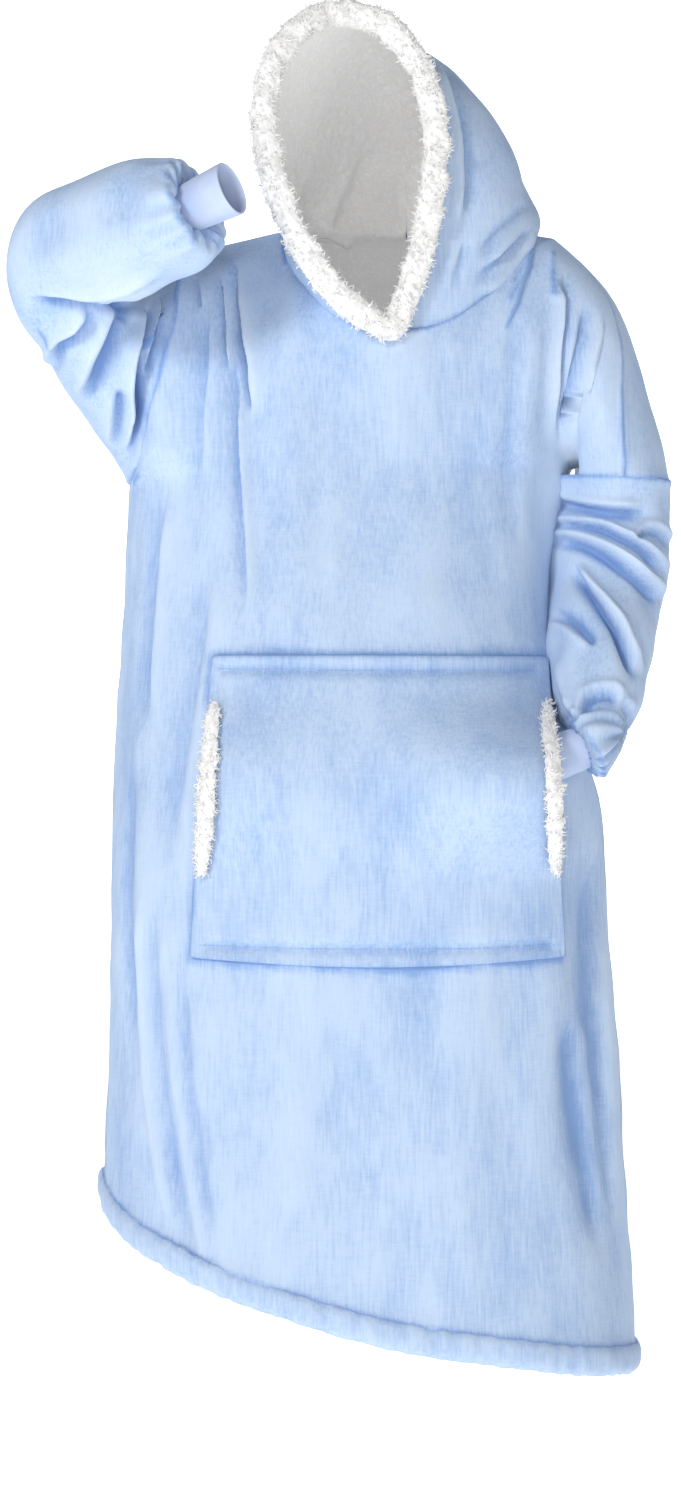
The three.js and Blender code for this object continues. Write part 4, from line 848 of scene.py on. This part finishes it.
# hem band: it follows the body's own folds and puckers at its stitching
hemLook = {"levels": 3, "puff": 3.0, "pucker": 0.9, "puckerSize": 16, "directions": 220}
hemBand = clothFrom("hem_band", "hemBandCloth", hemLook["levels"])
hemPoints, hemNormals = pointsOf(hemBand)
hemOut, hemHeight = bodyHeight(hemPoints, bodyFolds)
pucker = hemLook["puff"] + hemLook["pucker"] * unevenness(hemPoints * (1, 1, 0.4), hemLook["puckerSize"], 71)
# painted shade: the band's colour is lighter on its puckers and darker in their dips
place(hemBand, hemPoints + hemOut * hemHeight[:, None] + hemNormals * pucker[:, None],
      0.03 * (pucker - hemLook["puff"]))
cladding(hemBand, ["hem_band"], "plush_blue", flannel)
print("cuffs and hem made")

# stitches: dashes 3.2 mm long, one every 4.6 mm, of thread 0.5 mm thick drawn at 0.9 mm so that they show;
# thick is the drawn thread's radius, sunk how deep it lies in the cloth
stitchLook = {"long": 3.2, "pitch": 4.6, "thick": 0.45, "sunk": 0.1}


def stitchRow(name, centres, ways, outs):
    # a dash at each centre: rings of four points along the way of the seam, thin at both ends
    side = np.cross(ways, outs)
    along = np.array([-1, -0.7, 0.7, 1]) * stitchLook["long"] / 2
    thick = np.array([0.35, 1, 1, 0.35]) * stitchLook["thick"]
    turn = np.arange(4) * math.pi / 2
    ring = side[:, None] * np.cos(turn)[:, None] + outs[:, None] * np.sin(turn)[:, None]
    points = (centres[:, None, None] + ways[:, None, None] * along[:, None, None]
              + ring[:, None] * thick[:, None, None])
    points += outs[:, None, None] * (stitchLook["thick"] - stitchLook["sunk"])
    row = meshPiece(name, points.reshape(-1, 3), tubeFaces(len(centres), len(along)), thread)
    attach(row, "root")
    print(name, "stitches", len(centres))


def everyPitch(line):
    # points one pitch apart along a line
    walked = np.concatenate([[0], np.cumsum(np.linalg.norm(np.diff(line, axis=0), axis=1))])
    at = np.arange(stitchLook["pitch"] / 2, walked[-1], stitchLook["pitch"])
    return np.stack([np.interp(at, walked, column) for column in line.T], 1)


def waysOf(line):
    # the line's way at each of its points, length 1
    ways = np.gradient(line, axis=0)
    return ways / np.linalg.norm(ways, axis=1)[:, None]


def pocketStitches():
    # along the pocket's grooves, on the outer face of its cloth
    points, normals = pointsOf(pocket)
    points, normals = points[normals[:, 1] < -0.4], normals[normals[:, 1] < -0.4]
    centres, ways, outs = [], [], []
    for line in pocketLines:
        flat = everyPitch(smoothLine(line))
        nearest = np.array([((points[:, [0, 2]] - p) ** 2).sum(1).argmin() for p in flat])
        seat = np.stack([flat[:, 0], points[nearest, 1], flat[:, 1]], 1)
        centres.append(seat)
        ways.append(waysOf(seat))
        outs.append(normals[nearest])
    stitchRow("pocketStitches", *map(np.concatenate, (centres, ways, outs)))


def hemStitches():
    # round the lower edge of both panels, just above the hem band: the band's highest point in each direction
    points, normals = pointsOf(hemBand)
    share = np.arctan2(points[:, 1], points[:, 0] - bodyMiddle) / (2 * math.pi) + 0.5
    turn = np.floor(share * hemLook["directions"]).astype(int)
    outer = (normals * bodyDirections(points)).sum(1) > 0.3
    ring = []
    for k in range(hemLook["directions"]):
        here = np.flatnonzero((turn == k) & outer)
        if len(here):
            ring.append(points[here[points[here, 2].argmax()]])
    ring = np.array(ring + ring[:1])
    ring = np.vstack([ring[:1], (ring[:-2] + ring[1:-1] * 2 + ring[2:]) / 4, ring[-1:]])
    line = everyPitch(ring)
    stitchRow("hemStitches", line + (0, 0, 0.5), waysOf(line), bodyDirections(line))


pocketStitches()
hemStitches()
# the backdrop in metres: its nearest edge, where its bend begins, the bend's radius, its height and half its
# width
backdrop = {"near": -16.0, "far": 17, "bend": 1.6, "high": 9.0, "half": 16.0}


def stage():
    # a pale sheet that runs back along the floor and curves up behind
    turn = np.linspace(0, math.pi / 2, 24)
    bend = backdrop["bend"]
    run = np.concatenate([[backdrop["near"]], backdrop["far"] + bend * np.sin(turn), [backdrop["far"] + bend]])
    rise = np.concatenate([[0], bend - bend * np.cos(turn), [backdrop["high"]]]) + studio["floor"]
    sides = np.array([-backdrop["half"], backdrop["half"]])
    points = np.stack([np.repeat(sides, len(run)), np.tile(run, 2), np.tile(rise, 2)], 1)
    k = np.arange(len(run) - 1)
    faces = np.stack([k, k + len(run), k + len(run) + 1, k + 1], 1)
    paper, _, shader = newMaterial("matteBackdropPaper", {"Roughness": 1.0, "Specular IOR Level": 0.0})
    shader.inputs["Base Color"].default_value = toLinear(studio["paper"])
    shader.inputs["Emission Color"].default_value = toLinear("#ffffff")
    shader.inputs["Emission Strength"].default_value = studio["glow"]
    sweep = meshPiece("paperSweep", points * 1000, faces, paper)


def softLight(name, power, size, place, aim=(0, 0, -0.6)):
    # a round white lamp, size metres wide, that points at aim
    data = bpy.data.lights.new(name, "AREA")
    data.energy, data.size, data.shape = power, size, "DISK"
    lamp = bpy.data.objects.new(name, data)
    scene.collection.objects.link(lamp)
    lamp.location = place
    lamp.rotation_euler = (Vector(aim) - Vector(place)).to_track_quat("-Z", "Y").to_euler()


stage()
softLight("keyLight", studio["key"], 1.3, (-3.1, -4.9, 1.9))
softLight("fillLight", studio["fill"], 2.4, (2.8, -3.2, 0.2))
softLight("backLight", studio["rim"], 2.0, (1.2, 2.8, 1.8))
softLight("faceLight", studio["face"], 0.7, (-0.25, -4.6, 0.15), (0, 0, 0.1))
world = bpy.data.worlds.new("studioWorld")
scene.world = world
world.use_nodes = True
world.node_tree.nodes["Background"].inputs["Color"].default_value = toLinear("#ffffff")
world.node_tree.nodes["Background"].inputs["Strength"].default_value = studio["sky"]
scene.view_settings.view_transform = "Standard"
print("stage and lights made")
